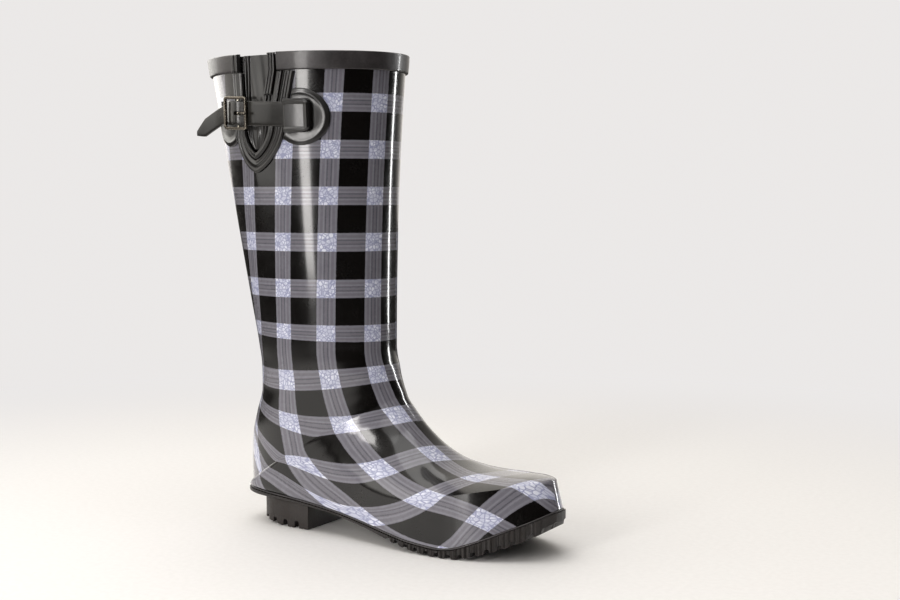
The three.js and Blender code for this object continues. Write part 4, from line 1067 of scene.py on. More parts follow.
@dataclass(frozen=True)
class CheckFinish(Finish):
    """Glossy rubber with the check printed under a clear layer."""

    ground: Colour = (0.050, 0.042, 0.040)
    band: Colour = (0.445, 0.44, 0.475)
    band_light: Colour = (0.54, 0.535, 0.57)
    line: Colour = (0.29, 0.285, 0.31)
    cross: Colour = (0.90, 0.91, 0.96)
    lace: Colour = (0.54, 0.56, 0.71)
    roughness: float = 0.22

    def wire(self, w: Wiring, shader: Node, effects: Effects) -> None:
        """Wires the material's nodes to its shader."""
        check = w.add("Attribute", attribute_name="check").outputs["Vector"]
        axes = w.add("SeparateXYZ", {0: check})
        wobble = w.fit(w.noise(900, 2), 0.3, 0.7, -0.004, 0.004, smooth=False)
        bands, pales, lines = [], [], []
        for own, other in ((axes.outputs[0], axes.outputs[1]), (axes.outputs[1], axes.outputs[0])):
            far = w.sum("ABSOLUTE", w.sum("SUBTRACT", w.sum("FRACT", w.plus(own, 0.5)), 0.5))
            far = w.plus(far, wobble)
            bands.append(w.fit(far, 0.203, 0.195))
            edge = w.times(w.fit(far, 0.148, 0.158), w.fit(far, 0.19, 0.18))
            inner = w.times(w.fit(far, 0.062, 0.07), w.fit(far, 0.098, 0.09))
            pales.append(w.sum("MAXIMUM", w.times(edge, 0.75), inner))
            beads = w.fit(w.sum("ABSOLUTE", w.sum("SUBTRACT", w.sum("FRACT", w.times(other, 30.0)), 0.5)),
                0.05, 0.3)
            pair = w.times(w.fit(far, 0.026, 0.034), w.fit(far, 0.056, 0.048))
            side = w.times(w.fit(far, 0.11, 0.116), w.fit(far, 0.134, 0.128))
            lines.append(w.sum("MAXIMUM", w.times(pair, w.plus(w.times(beads, 0.5), 0.5)),
                    w.times(side, 0.12)))
        crossing = w.times(bands[0], bands[1])
        either = w.sum("MAXIMUM", bands[0], bands[1])
        pale = w.sum("MAXIMUM", w.times(pales[0], bands[0]), w.times(pales[1], bands[1]))
        line = w.sum("MAXIMUM", w.times(lines[0], bands[0]), w.times(lines[1], bands[1]))
        grain = effects.place(w, Effect.MOTTLE, Scale=240.0, High=0.5)
        tone = w.mix(w.plus(w.times(pale, 0.6), w.times(grain, 0.35)),
            shade(self.band), shade(self.band_light))
        tone = w.mix(w.times(line, 0.75), tone, shade(self.line))
        scaled = w.add("VectorMath", {0: check, 1: (37.6, 36.0, 1.0)}, operation="MULTIPLY").outputs[0]
        cracks = w.add("TexVoronoi", {"Vector": scaled, "Scale": 0.36}, feature="DISTANCE_TO_EDGE").outputs[0]
        petals = w.add("TexVoronoi", {"Vector": scaled, "Scale": 0.20}, feature="F1").outputs[0]
        lace = w.sum("MAXIMUM", w.fit(cracks, 0.16, 0.05), w.times(w.fit(petals, 0.35, 0.5), 0.4))
        crossed = w.mix(w.times(lace, 0.8), shade(self.cross), shade(self.lace))
        ground = w.mix(effects.place(w, Effect.MOTTLE, Scale=36.0), shade(self.ground),
            shade(self.ground, 0.72))
        colour = w.mix(either, ground, tone)
        colour = w.mix(crossing, colour, crossed)
        colour = w.mix(axes.outputs[2], colour, ground)
        dust = effects.place(w, Effect.DUST, Amount=0.05, Scale=70.0)
        colour = w.mix(dust, colour, shade((0.5, 0.48, 0.45)))
        w.feed(colour, shader, "Base Color")
        satin = effects.place(w, Effect.MOTTLE, Scale=44.0, Low=self.roughness - 0.05, High=self.roughness + 0.06)
        rough = w.plus(satin,
            w.times(either, 0.05))
        w.feed(rough, shader, "Roughness")
        w.fix(shader, {"Specular IOR Level": 0.16, "Coat Weight": 0.85, "Coat Roughness": 0.11, "Coat IOR": 1.52})
        self.bump(w, shader, effects.place(w, Effect.RIPPLE, Wave=1.0, Peel=0.6), 0.4, 0.0022)


@dataclass(frozen=True)
class RubberFinish(Finish):
    """Plain black or brown rubber, glossy or satin."""

    colour: Colour = (0.055, 0.050, 0.048)
    worn: Colour = (0.16, 0.15, 0.14)
    roughness: float = 0.3
    coat: float = 0.5
    peel: float = 1.0
    wave: float = 0.6
    dust: float = 0.06
    speckle: float = 0.0

    def wire(self, w: Wiring, shader: Node, effects: Effects) -> None:
        """Wires the material's nodes to its shader."""
        tone = effects.place(w, Effect.MOTTLE, Scale=70.0)
        colour = w.mix(tone, shade(self.colour), shade(self.colour, 0.7))
        rub = effects.place(w, Effect.RUB, Start=0.54, Reach=0.10, Break=0.5)
        colour = w.mix(w.times(rub, 0.55), colour, shade(self.worn))
        colour = w.mix(effects.place(w, Effect.DUST, Amount=self.dust, Scale=80.0), colour, shade((0.46, 0.44, 0.41)))
        if self.speckle:
            spots = w.fit(w.noise(1500, 3, rough=0.7), 0.56, 0.68)
            colour = w.mix(w.times(spots, self.speckle), colour, shade(self.worn))
        w.feed(colour, shader, "Base Color")
        rough = effects.place(w, Effect.MOTTLE, Scale=52.0, Low=self.roughness - 0.06, High=self.roughness + 0.08)
        w.feed(w.plus(rough, w.times(rub, 0.15)), shader, "Roughness")
        w.fix(shader, {"Coat Weight": self.coat, "Coat Roughness": 0.12})
        height = effects.place(w, Effect.RIPPLE, Wave=self.wave, Peel=self.peel)
        self.bump(w, shader, height, 0.5, 0.0014)


@dataclass(frozen=True)
class MetalFinish(Finish):
    """Dark antique metal with the plating rubbed light along its edges."""

    colour: Colour = (0.30, 0.27, 0.25)
    bright: Colour = (0.90, 0.87, 0.80)
    roughness: float = 0.3

    def wire(self, w: Wiring, shader: Node, effects: Effects) -> None:
        """Wires the material's nodes to its shader."""
        tone = effects.place(w, Effect.MOTTLE, Scale=150.0)
        colour = w.mix(tone, shade(self.colour), shade(self.colour, 0.62))
        rub = effects.place(w, Effect.RUB, Start=0.52, Reach=0.06, Break=0.3)
        w.feed(w.mix(rub, colour, shade(self.bright)), shader, "Base Color")
        w.fix(shader, {"Metallic": 1.0})
        rough = effects.place(w, Effect.MOTTLE, Scale=300.0, Low=self.roughness - 0.08, High=self.roughness + 0.1)
        w.feed(rough, shader, "Roughness")
        self.bump(w, shader, effects.place(w, Effect.RIPPLE, Wave=0.2, Peel=2.0), 0.35, 0.0008)


@dataclass(frozen=True)
class KnitFinish(Finish):
    """A fine knitted lining."""

    colour: Colour = (0.23, 0.22, 0.215)
    # Painted shade for the knit's valleys, and also the tone of its random darker patches.
    valley_shade_and_patches: Colour = (0.11, 0.105, 0.10)
    gauge: float = 620.0

    def wire(self, w: Wiring, shader: Node, effects: Effects) -> None:
        """Wires the material's nodes to its shader."""
        place = w.spot()
        parts = w.add("SeparateXYZ", {0: place})
        angle = w.sum("ARCTAN2", parts.outputs[1], parts.outputs[0])
        wale = w.times(angle, 62.0)
        course = w.times(parts.outputs[2], self.gauge * 2)
        loops = w.times(w.sum("SINE", w.times(wale, 2.0)),
            w.sum("SINE", w.plus(course, w.times(w.sum("SINE", wale), 1.2))))
        height = w.fit(w.plus(loops, w.fit(w.noise(420, 4), 0.3, 0.7, -0.4, 0.4)), -1.0, 1.0)
        # Painted shade: the lower a place lies in the knit's loops, the darker its colour.
        colour = w.mix(height, shade(self.valley_shade_and_patches), shade(self.colour))
        tone = effects.place(w, Effect.MOTTLE, Scale=30.0, High=0.3)
        w.feed(w.mix(tone, colour, shade(self.valley_shade_and_patches)), shader, "Base Color")
        w.feed(effects.place(w, Effect.MOTTLE, Scale=200.0, Low=0.86, High=0.98), shader, "Roughness")
        w.fix(shader, {"Sheen Weight": 0.35, "Sheen Roughness": 0.5})
        self.bump(w, shader, height, 0.6, 0.0006)


@dataclass(frozen=True)
class BoardFinish(Finish):
    """Pressed fibre, felt or foam, with a grain of short fibres."""

    colour: Colour = (0.55, 0.47, 0.37)
    fleck: Colour = (0.36, 0.29, 0.22)
    scale: float = 420.0
    roughness: float = 0.9

    def wire(self, w: Wiring, shader: Node, effects: Effects) -> None:
        """Wires the material's nodes to its shader."""
        fibres = w.fit(w.noise(self.scale, 6, rough=0.75), 0.38, 0.66)
        colour = w.mix(fibres, shade(self.colour), shade(self.fleck))
        tone = effects.place(w, Effect.MOTTLE, Scale=24.0, High=0.35)
        w.feed(w.mix(tone, colour, shade(self.fleck)), shader, "Base Color")
        rough = effects.place(w, Effect.MOTTLE, Scale=120.0, Low=self.roughness - 0.06, High=self.roughness + 0.06)
        w.feed(rough, shader, "Roughness")
        self.bump(w, shader, fibres, 0.45, 0.0005)


class Palette:
    """Every finish of the boot, made once and given out by slot."""

    def __init__(self) -> None:
        """Builds the materials."""
        effects = Effects()
        finishes = {
            Slot.CHECK: CheckFinish("check_rubber"),
            Slot.TRIM: RubberFinish("trim_rubber", colour=(0.075, 0.068, 0.066), worn=(0.17, 0.16, 0.155),
                roughness=0.34, coat=0.4),
            # This dark rubber is lifted to grey: partly its own tone, partly painted sheen standing in for its wide
            # satin highlight.
            Slot.BAND: RubberFinish("band_rubber", colour=(0.23, 0.215, 0.22), roughness=0.42, coat=0.3, wave=0.8),
            Slot.SOLE: RubberFinish("sole_rubber", colour=(0.085, 0.068, 0.064), worn=(0.20, 0.165, 0.15),
                roughness=0.5, coat=0.1, peel=9.0, dust=0.06, speckle=0.3),
            Slot.LINING: KnitFinish("knit_lining"),
            Slot.STIFFENER: BoardFinish("stiffener_felt", colour=(0.70, 0.65, 0.56), fleck=(0.52, 0.46, 0.38)),
            Slot.BOARD: BoardFinish("pressed_board"),
            Slot.STEEL: MetalFinish("shank_steel", colour=(0.56, 0.56, 0.57), bright=(0.8, 0.8, 0.8), roughness=0.36),
            Slot.FOOTBED: BoardFinish("footbed_foam", colour=(0.21, 0.21, 0.22), fleck=(0.13, 0.13, 0.14), scale=300.0),
            Slot.STRAP: RubberFinish("strap_rubber", colour=(0.095, 0.085, 0.072), worn=(0.22, 0.20, 0.175),
                roughness=0.33, coat=0.35, wave=0.5),
            Slot.METAL: MetalFinish("antique_metal"),
        }
        self.materials = {slot: finish.build(effects) for slot, finish in finishes.items()}

    def dress(self, piece: Piece, slot: Slot) -> None:
        """Gives a new piece its finish."""
        piece.data.materials.clear()
        piece.data.materials.append(self.materials[slot])

    def dress_node(self, node: Piece, slot: Slot) -> None:
        """Gives a carried-over node its finish."""
        for holder in node.material_slots:
            holder.material = self.materials[slot]


# The upper.


@dataclass(frozen=True)
class Assembly:
    """A sub-assembly, with its mesh maker, its finishes and the form that it lies on."""

    shop: Workshop
    palette: Palette
    form: BootForm

    def finish(self, piece: Piece, slot: Slot, *nodes: str, body: str = "boot") -> Piece:
        """Dresses a piece, sets it on a body and hides the nodes that it stands for.

        Args:
            piece: The new piece.
            slot: The finish to use.
            *nodes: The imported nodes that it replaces.
            body: The body that it moves with.

        Returns:
            The same piece.
        """
        self.palette.dress(piece, slot)
        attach(piece, body)
        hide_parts(*nodes)
        LOG.info("%s: %d faces on %s", piece.name, len(piece.data.polygons), body)
        return piece


@dataclass(frozen=True)
class Upper(Assembly):
    """The printed rubber shell, the knitted lining and the seam down the back."""

    shield: Shield
    layout: CheckLayout = field(default_factory=CheckLayout)
    row_count: int = 210
    share_count: int = 137
    slot_sink: float = 2.2
    board_lift: float = 4.8
    stay_width: float = 7.0
    stay_thickness: float = 0.9
    band_height: float = 14.0

    def rows(self, count: int) -> Array:
        """Rows from the top edge to the toe, with one exactly at the heel's corner."""
        return np.unique(np.append(self.form.fine_rows(count), float(self.form.heel_row)))

    def shell(self) -> Piece:
        """The shell, sunk under the gusset's panel, with the check's coordinates on it."""
        form, rows = self.form, self.rows(self.row_count)
        shares = np.linspace(1, -1, self.share_count)
        outer = form.layer(rows, shares, 0.0)
        inner = form.layer(rows, shares, form.shell_wall)
        middle = self.share_count // 2
        down = np.broadcast_to(run_length(outer[:, middle])[:, None], outer.shape[:2])
        round_leg = run_length(outer, axis=1)
        round_leg = round_leg - round_leg[:, middle:middle + 1]
        check = self.layout.place(down, round_leg)
        inside = self.shield.depth_inside(outer[..., 0], outer[..., 2])
        sink = np.where(outer[..., 1] < 0, self.slot_sink * ramp(inside, 6.5, 11.0), 0)
        check[..., 2] = np.where(outer[..., 1] < 0, ramp(inside, 0.8, 4.0), 0)
        sunk = form.on_shaft(outer[..., 0], outer[..., 2], -sink)
        outer = np.where((sink > 0)[..., None], sunk, outer)
        sides_from = int(np.searchsorted(rows, form.heel_row))
        piece = self.shop.slab("printed_shell", outer, inner, marks={"check": check}, crease=38.0,
            open_ends=(False, True), sides_from=sides_from)
        return self.finish(piece, Slot.CHECK, "upper_shell")

    def lining(self) -> Piece:
        """The knitted lining inside the shell."""
        form, rows = self.form, self.rows(150)
        shares = np.linspace(1, -1, 97)
        footward = ramp(rows, len(SHAFT_ROWS) - 2, len(SHAFT_ROWS) + 1)
        depth = form.shell_wall + form.layer_gap + footward * (form.stiffener_wall + form.layer_gap * 1.6)
        lift = self.board_lift + form.layer_gap
        outer = form.layer(rows, shares, depth, lift)
        inner = form.layer(rows, shares, depth + form.lining_wall, lift)
        piece = self.shop.slab("knit_lining", outer, inner, open_ends=(False, True),
            sides_from=int(np.searchsorted(rows, form.heel_row)))
        return self.finish(piece, Slot.LINING, "lining")

    def back_stay(self) -> Piece:
        """The raised strip over the back seam."""
        form = self.form
        rows = form.fine_rows(90, 0.0, float(form.heel_row))
        across = np.linspace(-1, 1, 13) * self.stay_width / 2

        def skin(height: Array) -> Array:
            """The strip's surface at heights above the rubber, one for each column."""
            grids = []
            for y, h in zip(across, height):
                at = form.inset(rows, -h)
                z = at["edge_z"].copy()
                z[0] -= self.band_height + 1
                z[-1] += 1
                z[:-1] = np.minimum(z[:-1], z[0])
                grids.append(np.stack([at["edge_x"] + 0.0006 * y * y * 10, np.full_like(z, y), z], axis=-1))
            return np.stack(grids, axis=1)

        low = np.full(len(across), form.layer_gap)
        share = np.abs(across) / (self.stay_width / 2)
        top = low + self.stay_thickness * (1 - 0.72 * share ** 4 - 0.18 * bump(share, 0.62, 0.2))
        piece = self.shop.slab("back_stay_strip", skin(top), skin(low))
        return self.finish(piece, Slot.TRIM, "back_stay")

    def build(self) -> None:
        """Makes every piece of the upper."""
        self.shell()
        self.lining()
        self.back_stay()


# The top edge and the gusset.


@dataclass(frozen=True)
class Gusset(Assembly):
    """The band round the top edge and the shield-shaped gusset with its welts."""

    shield: Shield
    heights: Heights
    band_height: float = 14.0
    band_thickness: float = 1.9
    edge: float = 0.8
    panel_low: float = -2.1
    panel_top: float = -0.5
    pleat_top: float = 1.0
    pleats: tuple[float, ...] = (0.06, 0.16, 0.78, 0.90)
    welt_width: float = 7.0
    front_welt_thickness: float = 1.8
    rear_cap_thickness: float = 4.2
    strap_height: float = 335.0
    strap_width: float = 19.0
    scallop: float = 1.35

    @property
    def band_low(self) -> float:
        """Height of the rim band's lower edge."""
        return self.form.height - self.band_height

    def slot_front(self, z: Values) -> Values:
        """Station of the slot's front edge at a height."""
        opening = self.shield.opening
        return self.shield.middle_at(z, opening) + self.shield.half_at(z, opening)

    @property
    def band_front(self) -> float:
        """Station where the rim band starts, in front of the gusset."""
        return float(self.slot_front(self.band_low))

    @property
    def band_rear(self) -> float:
        """Station where the rim band ends, behind the gusset."""
        return float(self.shield.middle_at(self.band_low, 0.0) - self.shield.half_at(self.band_low, 0.0))

    def rim_band(self) -> Piece:
        """The rounded band that laps over the top edge."""
        form, e = self.form, self.edge
        centre, length, _ = form.shaft_at(form.height)
        start = math.asin((self.band_front - centre) / length)
        end = 2 * math.pi + math.asin((self.band_rear - centre) / length)
        low, top, proud = self.band_low, form.height, self.heights.surface + self.band_thickness
        reach = -(form.shell_wall + form.layer_gap + form.lining_wall)
        turn = np.linspace(0, math.pi / 2, 5)
        profile = [(self.heights.surface, low)]
        profile += [(proud - e + e * math.sin(a), low + e - e * math.cos(a)) for a in turn]
        profile += [(proud + 0.12 * float(bump(t, 0.5, 0.6)), lerp(low + e, top - e, t))
            for t in (0.12, 0.3, 0.5, 0.7, 0.88)]
        profile += [(proud - e + e * math.cos(a), top - e + e * math.sin(a)) for a in turn]
        profile += [(reach + 0.5, top), (reach + 0.15, top - 0.15), (reach, top - 0.5), (reach, top - form.lip),
            (self.heights.surface, top - form.lip)]
        loops = []
        for angle in np.linspace(start, end, 260):
            ring = []
            for height, z in profile:
                c, l, h = form.shaft_at(z)
                normal = unit(np.array([math.sin(angle) / l, -math.cos(angle) / h]))
                ring.append((c + l * math.sin(angle) + normal[0] * height,
                        -h * math.cos(angle) + normal[1] * height, z))
            loops.append(ring)
        piece = self.shop.sweep("top_band", np.array(loops))
        return self.finish(piece, Slot.BAND, "rim_band")

    def panel(self) -> Piece:
        """The pleated panel in the slot."""
        inset = self.shield.opening + self.form.layer_gap
        tip = float(self.shield.tip_at(inset))
        z = np.concatenate([np.linspace(self.form.shell_top, self.shield.shoulder, 40),
                lerp(self.shield.shoulder, tip + 1.5, np.sin(np.linspace(0, math.pi / 2, 34)[1:]))])
        t = np.linspace(0, 1, 91)
        zz, tt = np.meshgrid(z, t, indexing="ij")
        x = self.shield.middle_at(zz, inset) + (2 * tt - 1) * self.shield.half_at(zz, inset)
        fold = np.max([bump(tt, place, 0.055) for place in self.pleats], axis=0)
        top = lerp(self.panel_top, self.pleat_top, fold * ramp(zz - tip, 0, 24))
        top = top + 0.9 * bump(tt, 0.55, 0.13) * bump(zz, 314, 13) + 0.14 * np.sin(tt * 23 + zz * 0.16)
        low = self.form.on_shaft(x, zz, self.panel_low)
        piece = self.shop.slab("pleated_panel", self.form.on_shaft(x, zz, top), low, crease=60.0)
        return self.finish(piece, Slot.TRIM, "gusset_panel")

    def _band(self, inset: float, band: float, columns: int, steps: tuple[int, int],
            rise: Callable[[Array, Array, Array], Array]) -> tuple[Array, Array]:
        """Two skins of a band of even width round the shield.

        Args:
            inset: Where its outer edge runs.
            band: Its width.
            columns: Columns across it.
            steps: Steps along each arm and each half of the curve.
            rise: The height for a distance across, a share and a run along.

        Returns:
            The outer and the inner grid.
        """
        across = np.linspace(0, 1, columns)
        paths = np.stack([self.shield.path(inset + band * t, self.band_low - 1, *steps) for t in across], axis=1)
        run = run_length(paths)[:, columns // 2]
        distance = np.broadcast_to(across * band, paths.shape[:2])
        share = np.broadcast_to(np.linspace(0, 1, len(paths))[:, None], paths.shape[:2])
        height = rise(distance, share, np.broadcast_to(run[:, None], paths.shape[:2]))
        top = self.form.on_shaft(paths[..., 0], paths[..., 1], height)
        return top, self.form.on_shaft(paths[..., 0], paths[..., 1], self.heights.surface)

    def trim(self) -> Piece:
        """The shield's broad trim, with a lip along its edge and double lines on its front arm."""
        width, base = self.shield.trim_band, self.heights.surface + self.heights.trim

        def rise(d: Array, share: Array, run: Array) -> Array:
            """Height of the trim above the rubber."""
            edge = np.minimum(d, width - d)
            front = ramp(share, 0.5, 0.56)
            lines = 0.42 * (bump(d, 5.2, 0.55) + bump(d, 6.9, 0.55)) * front
            swell = 0.35 * bump(d, 5.4, 2.0) * (1 - front)
            return base - 0.9 * rolled(edge, 0.9) + 0.4 * bump(d, 1.5, 0.8) - 0.45 * bump(d, 3.0, 0.6) + lines + swell

        top, low = self._band(0.0, width, 34, (30, 70), rise)
        piece = self.shop.slab("shield_trim_band", top, low, crease=60.0)
        return self.finish(piece, Slot.TRIM, "shield_trim")

    def ridge(self) -> Piece:
        """The raised ridge inside the trim, scalloped on its rear arm."""
        width = self.shield.ridge_band - self.shield.gap
        base = self.heights.surface + self.heights.ridge

        def rise(d: Array, share: Array, run: Array) -> Array:
            """Height of the ridge above the rubber."""
            edge = np.minimum(d, width - d)
            rear = ramp(share, 0.53, 0.47) * ramp(share, 0.05, 0.12)
            scallops = np.abs(np.sin(run * math.pi / self.scallop)) * bump(d, 2.6, 1.5)
            line = 0.4 * bump(d, 2.0, 0.6) * (1 - rear)
            return base - 0.8 * rolled(edge, 0.8) + rear * (0.75 * scallops - 0.5 * bump(d, 2.6, 1.6)) + line

        top, low = self._band(self.shield.trim_band + self.shield.gap, width, 16, (60, 190), rise)
        piece = self.shop.slab("shield_ridge", top, low, crease=60.0)
        return self.finish(piece, Slot.TRIM, "gusset_ridge")

    def _upright(self, name: str, z: Array, start: Callable[[Array], Array], low: float,
            thickness: float, grooves: Sequence[float]) -> Piece:
        """A rounded upright strip on the shaft.

        Args:
            name: Its name.
            z: Its heights.
            start: The station of its rear edge at a height.
            low: Its underside's height above the rubber.
            thickness: Its thickness.
            grooves: Places of its grooves across it.

        Returns:
            The piece.
        """
        across = np.linspace(0, self.welt_width, 29)
        zz, aa = np.meshgrid(z, across, indexing="ij")
        edge = np.minimum(np.minimum(aa, self.welt_width - aa), np.minimum(z[0] - zz, zz - z[-1]))
        radius = min(1.1, thickness * 0.6)
        height = low + thickness - radius * rolled(edge, radius)
        height = height - 0.45 * thickness * np.max([bump(aa, g, 0.7) for g in grooves], axis=0)
        x = start(zz) + aa
        return self.shop.slab(name, self.form.on_shaft(x, zz, height), self.form.on_shaft(x, zz, low), crease=60.0)

    def welts(self) -> None:
        """The strips in front of and behind the slot."""
        low = self.pleat_top + self.heights.surface
        gap = self.shield.gap
        z = np.linspace(self.form.height - 0.3, self.strap_height + self.strap_width / 2 + 3, 60)
        front = self._upright(
            "front_welt", z,
            lambda zz: np.minimum(self.band_front, self.slot_front(zz)) - gap * 1.6 - self.welt_width,
            low, self.front_welt_thickness, (2.4, 4.9))
        self.finish(front, Slot.TRIM, "gusset_welt_front")
        z = np.linspace(self.form.height - 0.2, self.band_low - 0.4, 30)
        rear = self._upright("rear_cap", z, lambda zz: np.full_like(zz, self.band_rear + gap * 4),
            self.heights.surface, self.rear_cap_thickness, (3.6,))
        self.finish(rear, Slot.TRIM, "gusset_welt_rear")

    def build(self) -> None:
        """Makes every piece of the top edge and the gusset."""
        self.rim_band()
        self.panel()
        self.trim()
        self.ridge()
        self.welts()


# The strap.


@dataclass(frozen=True)
class Strap(Assembly):
    """The strap with its loose end, its patches, the loop that holds it and the buckle's tab."""

    shield: Shield
    heights: Heights
    axes: StrapFrame
    width: float = 19.0
    thickness: float = 2.0
    front_end: float = 89.0
    anchor_rear: float = 74.0
    anchor_front: float = 94.0
    anchor_wall: float = 2.3
    anchor_roof: float = 2.0
    slot_clearance: float = 1.2
    front_patch: Place = (85.0, 330.5, 22.0)
    rear_patch: Place = (12.0, 327.0, 18.0)
    patch_thickness: float = 1.6
    tail_length: float = 32.0
    tail_droop: float = 16.0
    tail_width: float = 14.6
    tail_root_drop: float = 1.4
    tail_lift: float = 3.2
    tail_tip: float = 4.0
    tail_taper: float = 9.0
    buckle_width: float = 23.4
    bar_reach: float = 10.6
    hole_start: float = 0.6
    hole_length: float = 8.8
    hole_half: float = 1.5
    tab_width: float = 17.0

    @property
    def hinge(self) -> float:
        """Place along the buckle's axis where the loose end starts to flex."""
        return -(self.buckle_width / 2 + 3)

    def patch(self, name: str, place: Place, direction: int) -> Piece:
        """A round moulded patch beside the gusset trim.

        Args:
            name: Its name.
            place: Its station, height and radius.
            direction: 1 in front of the trim and -1 behind it.

        Returns:
            The piece.
        """
        cx, cz, radius = place
        z = cz + radius * np.sin(np.linspace(-1, 1, 61) * math.pi * 0.48)
        chord = np.sqrt(np.maximum(0, radius ** 2 - (z - cz) ** 2))
        trim = self.shield.middle_at(z, 0.0) + direction * (self.shield.half_at(z, 0.0) + self.shield.gap + 0.2)
        far = cx + direction * chord
        near = direction * np.maximum(direction * (cx - direction * chord), direction * trim)
        t = (1 - np.cos(np.linspace(0, math.pi, 41))) / 2
        x = lerp(near[:, None], far[:, None], t[None, :])
        zz = np.broadcast_to(z[:, None], x.shape)
        ring = radius - np.hypot(x - cx, zz - cz)
        d = np.minimum(ring, direction * (x - trim[:, None]) + 0.15)
        top = self.heights.surface + self.patch_thickness
        height = top - 1.1 * rolled(d, 1.3) + 0.35 * bump(ring, 3.2, 1.8) - 0.30 * ramp(ring, 4.0, 8.0)
        return self.shop.slab(name, self.form.on_shaft(x, zz, np.maximum(height, self.heights.surface + 0.15)),
            self.form.on_shaft(x, zz, self.heights.surface), crease=60.0)

    def loop(self) -> Piece:
        """The moulded loop that holds the strap's front end, with a rim round its sunk middle."""
        middle = float(self.axes.strap_height((self.anchor_rear + self.anchor_front) / 2))
        slot_half = self.width / 2 + self.slot_clearance
        half = slot_half + self.anchor_wall
        roof_low = self.heights.strap_rest + self.thickness / 2 + self.heights.play * 2
        base = self.heights.surface + self.heights.trim + self.heights.play
        slot_end = self.anchor_front - self.anchor_wall
        walls = [-slot_half - 0.05, -slot_half, slot_half, slot_half + 0.05]
        rise = np.unique(np.concatenate([np.linspace(-half, half, 61), walls]))
        x = np.linspace(self.anchor_rear, self.anchor_front, 46)
        x = np.unique(np.concatenate([x, [slot_end, slot_end + 0.05]]))
        vv, xx = np.meshgrid(rise, x, indexing="ij")
        corner = 6.0
        over = np.clip(xx - (self.anchor_front - corner), 0, corner)
        tuck = corner - np.sqrt(corner ** 2 - over ** 2 * 0.98)
        scale = (half - tuck) / half
        zz = middle + vv * scale
        edge = np.minimum((half - np.abs(vv)) * scale, self.anchor_front - xx)
        edge_all = np.minimum(edge, xx - self.anchor_rear + 0.4)
        top = roof_low + self.anchor_roof
        height = top - 1.5 * rolled(edge_all, 1.7) + 0.5 * bump(edge, 2.3, 1.0) - 0.95 * ramp(edge, 3.0, 4.4)
        under = np.where((np.abs(vv) <= slot_half) & (xx <= slot_end), roof_low, base)
        on = self.form.on_shaft
        return self.shop.slab("strap_loop", on(xx, zz, height), on(xx, zz, under), crease=50.0)

    def route(self, count: int) -> Array:
        """The middle line of the strap and its loose end, in the buckle's frame seen from above."""
        x = np.linspace(self.front_end, self.axes.station + self.buckle_width / 2 + 5, 9)
        leg = self.axes.measure(self.form.on_shaft(x, self.axes.strap_height(x), self.heights.strap_rest))
        crown = self.heights.pin + self.heights.play + self.heights.tab
        through = [(self.bar_reach, self.heights.strap_rest), (crown, self.heights.strap_crest),
            (-crown, self.heights.strap_crest), (-self.bar_reach, self.heights.strap_rear)]
        tail = [(self.hinge - t * self.tail_length, self.heights.strap_rear + self.tail_lift * t ** 2)
            for t in (0.0, 0.25, 0.5, 0.75, 1.0)]
        knots = np.vstack([leg[:, [0, 2]], np.array(through), np.array(tail)])
        return even_steps(flowing_line(knots), count)

    def band(self) -> Piece:
        """The strap through the buckle with its tapered, drooping end."""
        line = self.route(280)
        along = unit(np.gradient(line, axis=0))
        side = np.stack([-along[:, 1], along[:, 0]], axis=1)
        side = side * np.sign(side[:, 1:])
        x = line[:, 0]
        t = np.clip((self.hinge - x) / self.tail_length, 0, 1)
        width = lerp(self.width, self.tail_width, ramp(x, -self.bar_reach - 0.6, self.hinge - 1.6))
        taper = np.clip((t - 1 + self.tail_taper / self.tail_length) / (self.tail_taper / self.tail_length), 0, 1)
        width = lerp(width, self.tail_tip, taper ** 1.15)
        drop = self.tail_root_drop * ramp(x, -self.bar_reach - 0.4, self.hinge - 0.8) + self.tail_droop * t ** 1.15
        slot = self.hole_half / (self.width / 2)
        share = np.array([-1, -0.985, -0.95, -0.9, -0.7, -0.45, -slot, 0, slot, 0.45, 0.7, 0.9, 0.95, 0.985, 1])
        rim = np.clip((np.abs(share) - 0.9) / 0.1, 0, 1)
        half = self.thickness / 2 * np.sqrt(1 - 0.85 * rim ** 2)
        crown = 0.12 * (1 - share ** 2)

        def skin(sign: int) -> Array:
            """One face of the strap, 1 for the outer face and -1 for the inner."""
            lift = sign * half[None, :] + (crown[None, :] if sign > 0 else 0)
            local = np.stack([
                x[:, None] + side[:, :1] * lift,
                share[None, :] * width[:, None] / 2 - drop[:, None],
                line[:, 1:] + side[:, 1:] * lift,
            ], axis=-1)
            return self.axes.place(local)

        middles = (x[:-1] + x[1:]) / 2
        hole = (middles > self.hole_start) & (middles < self.hole_start + self.hole_length)
        keep = ~(hole[:, None] & (np.abs((share[:-1] + share[1:]) / 2) < slot)[None, :])
        return self.shop.slab("buckled_strap", skin(1), skin(-1), keep=keep, crease=50.0)

    def tab(self) -> Piece:
        """The tab that wraps round the buckle's pin."""
        h = self.heights
        radius = h.pin + h.play + h.tab / 2
        turn = np.linspace(-math.pi / 2, math.pi * 0.62, 16)
        arc = np.stack([radius * np.cos(turn), h.pin_middle + radius * np.sin(turn)], axis=1)
        low = h.tab_low + h.tab / 2
        tail = -(self.axes.station - self.rear_patch[0]) - 4
        lap = (-self.bar_reach * 0.55, h.tab_low + h.tab * 1.5 + h.play)
        straight = np.stack([np.linspace(tail, -1.5, 12), np.full(12, low)], axis=1)
        line = even_steps(np.vstack([straight, arc, [lap]]), 90)
        along = unit(np.gradient(line, axis=0))
        side = np.stack([along[:, 1], -along[:, 0]], axis=1)
        slot = self.hole_half / (self.tab_width / 2)
        share = np.array([-1, -0.97, -0.9, -0.6, -slot, 0, slot, 0.6, 0.9, 0.97, 1])
        half = h.tab / 2 * np.sqrt(1 - 0.8 * np.clip((np.abs(share) - 0.9) / 0.1, 0, 1) ** 2)

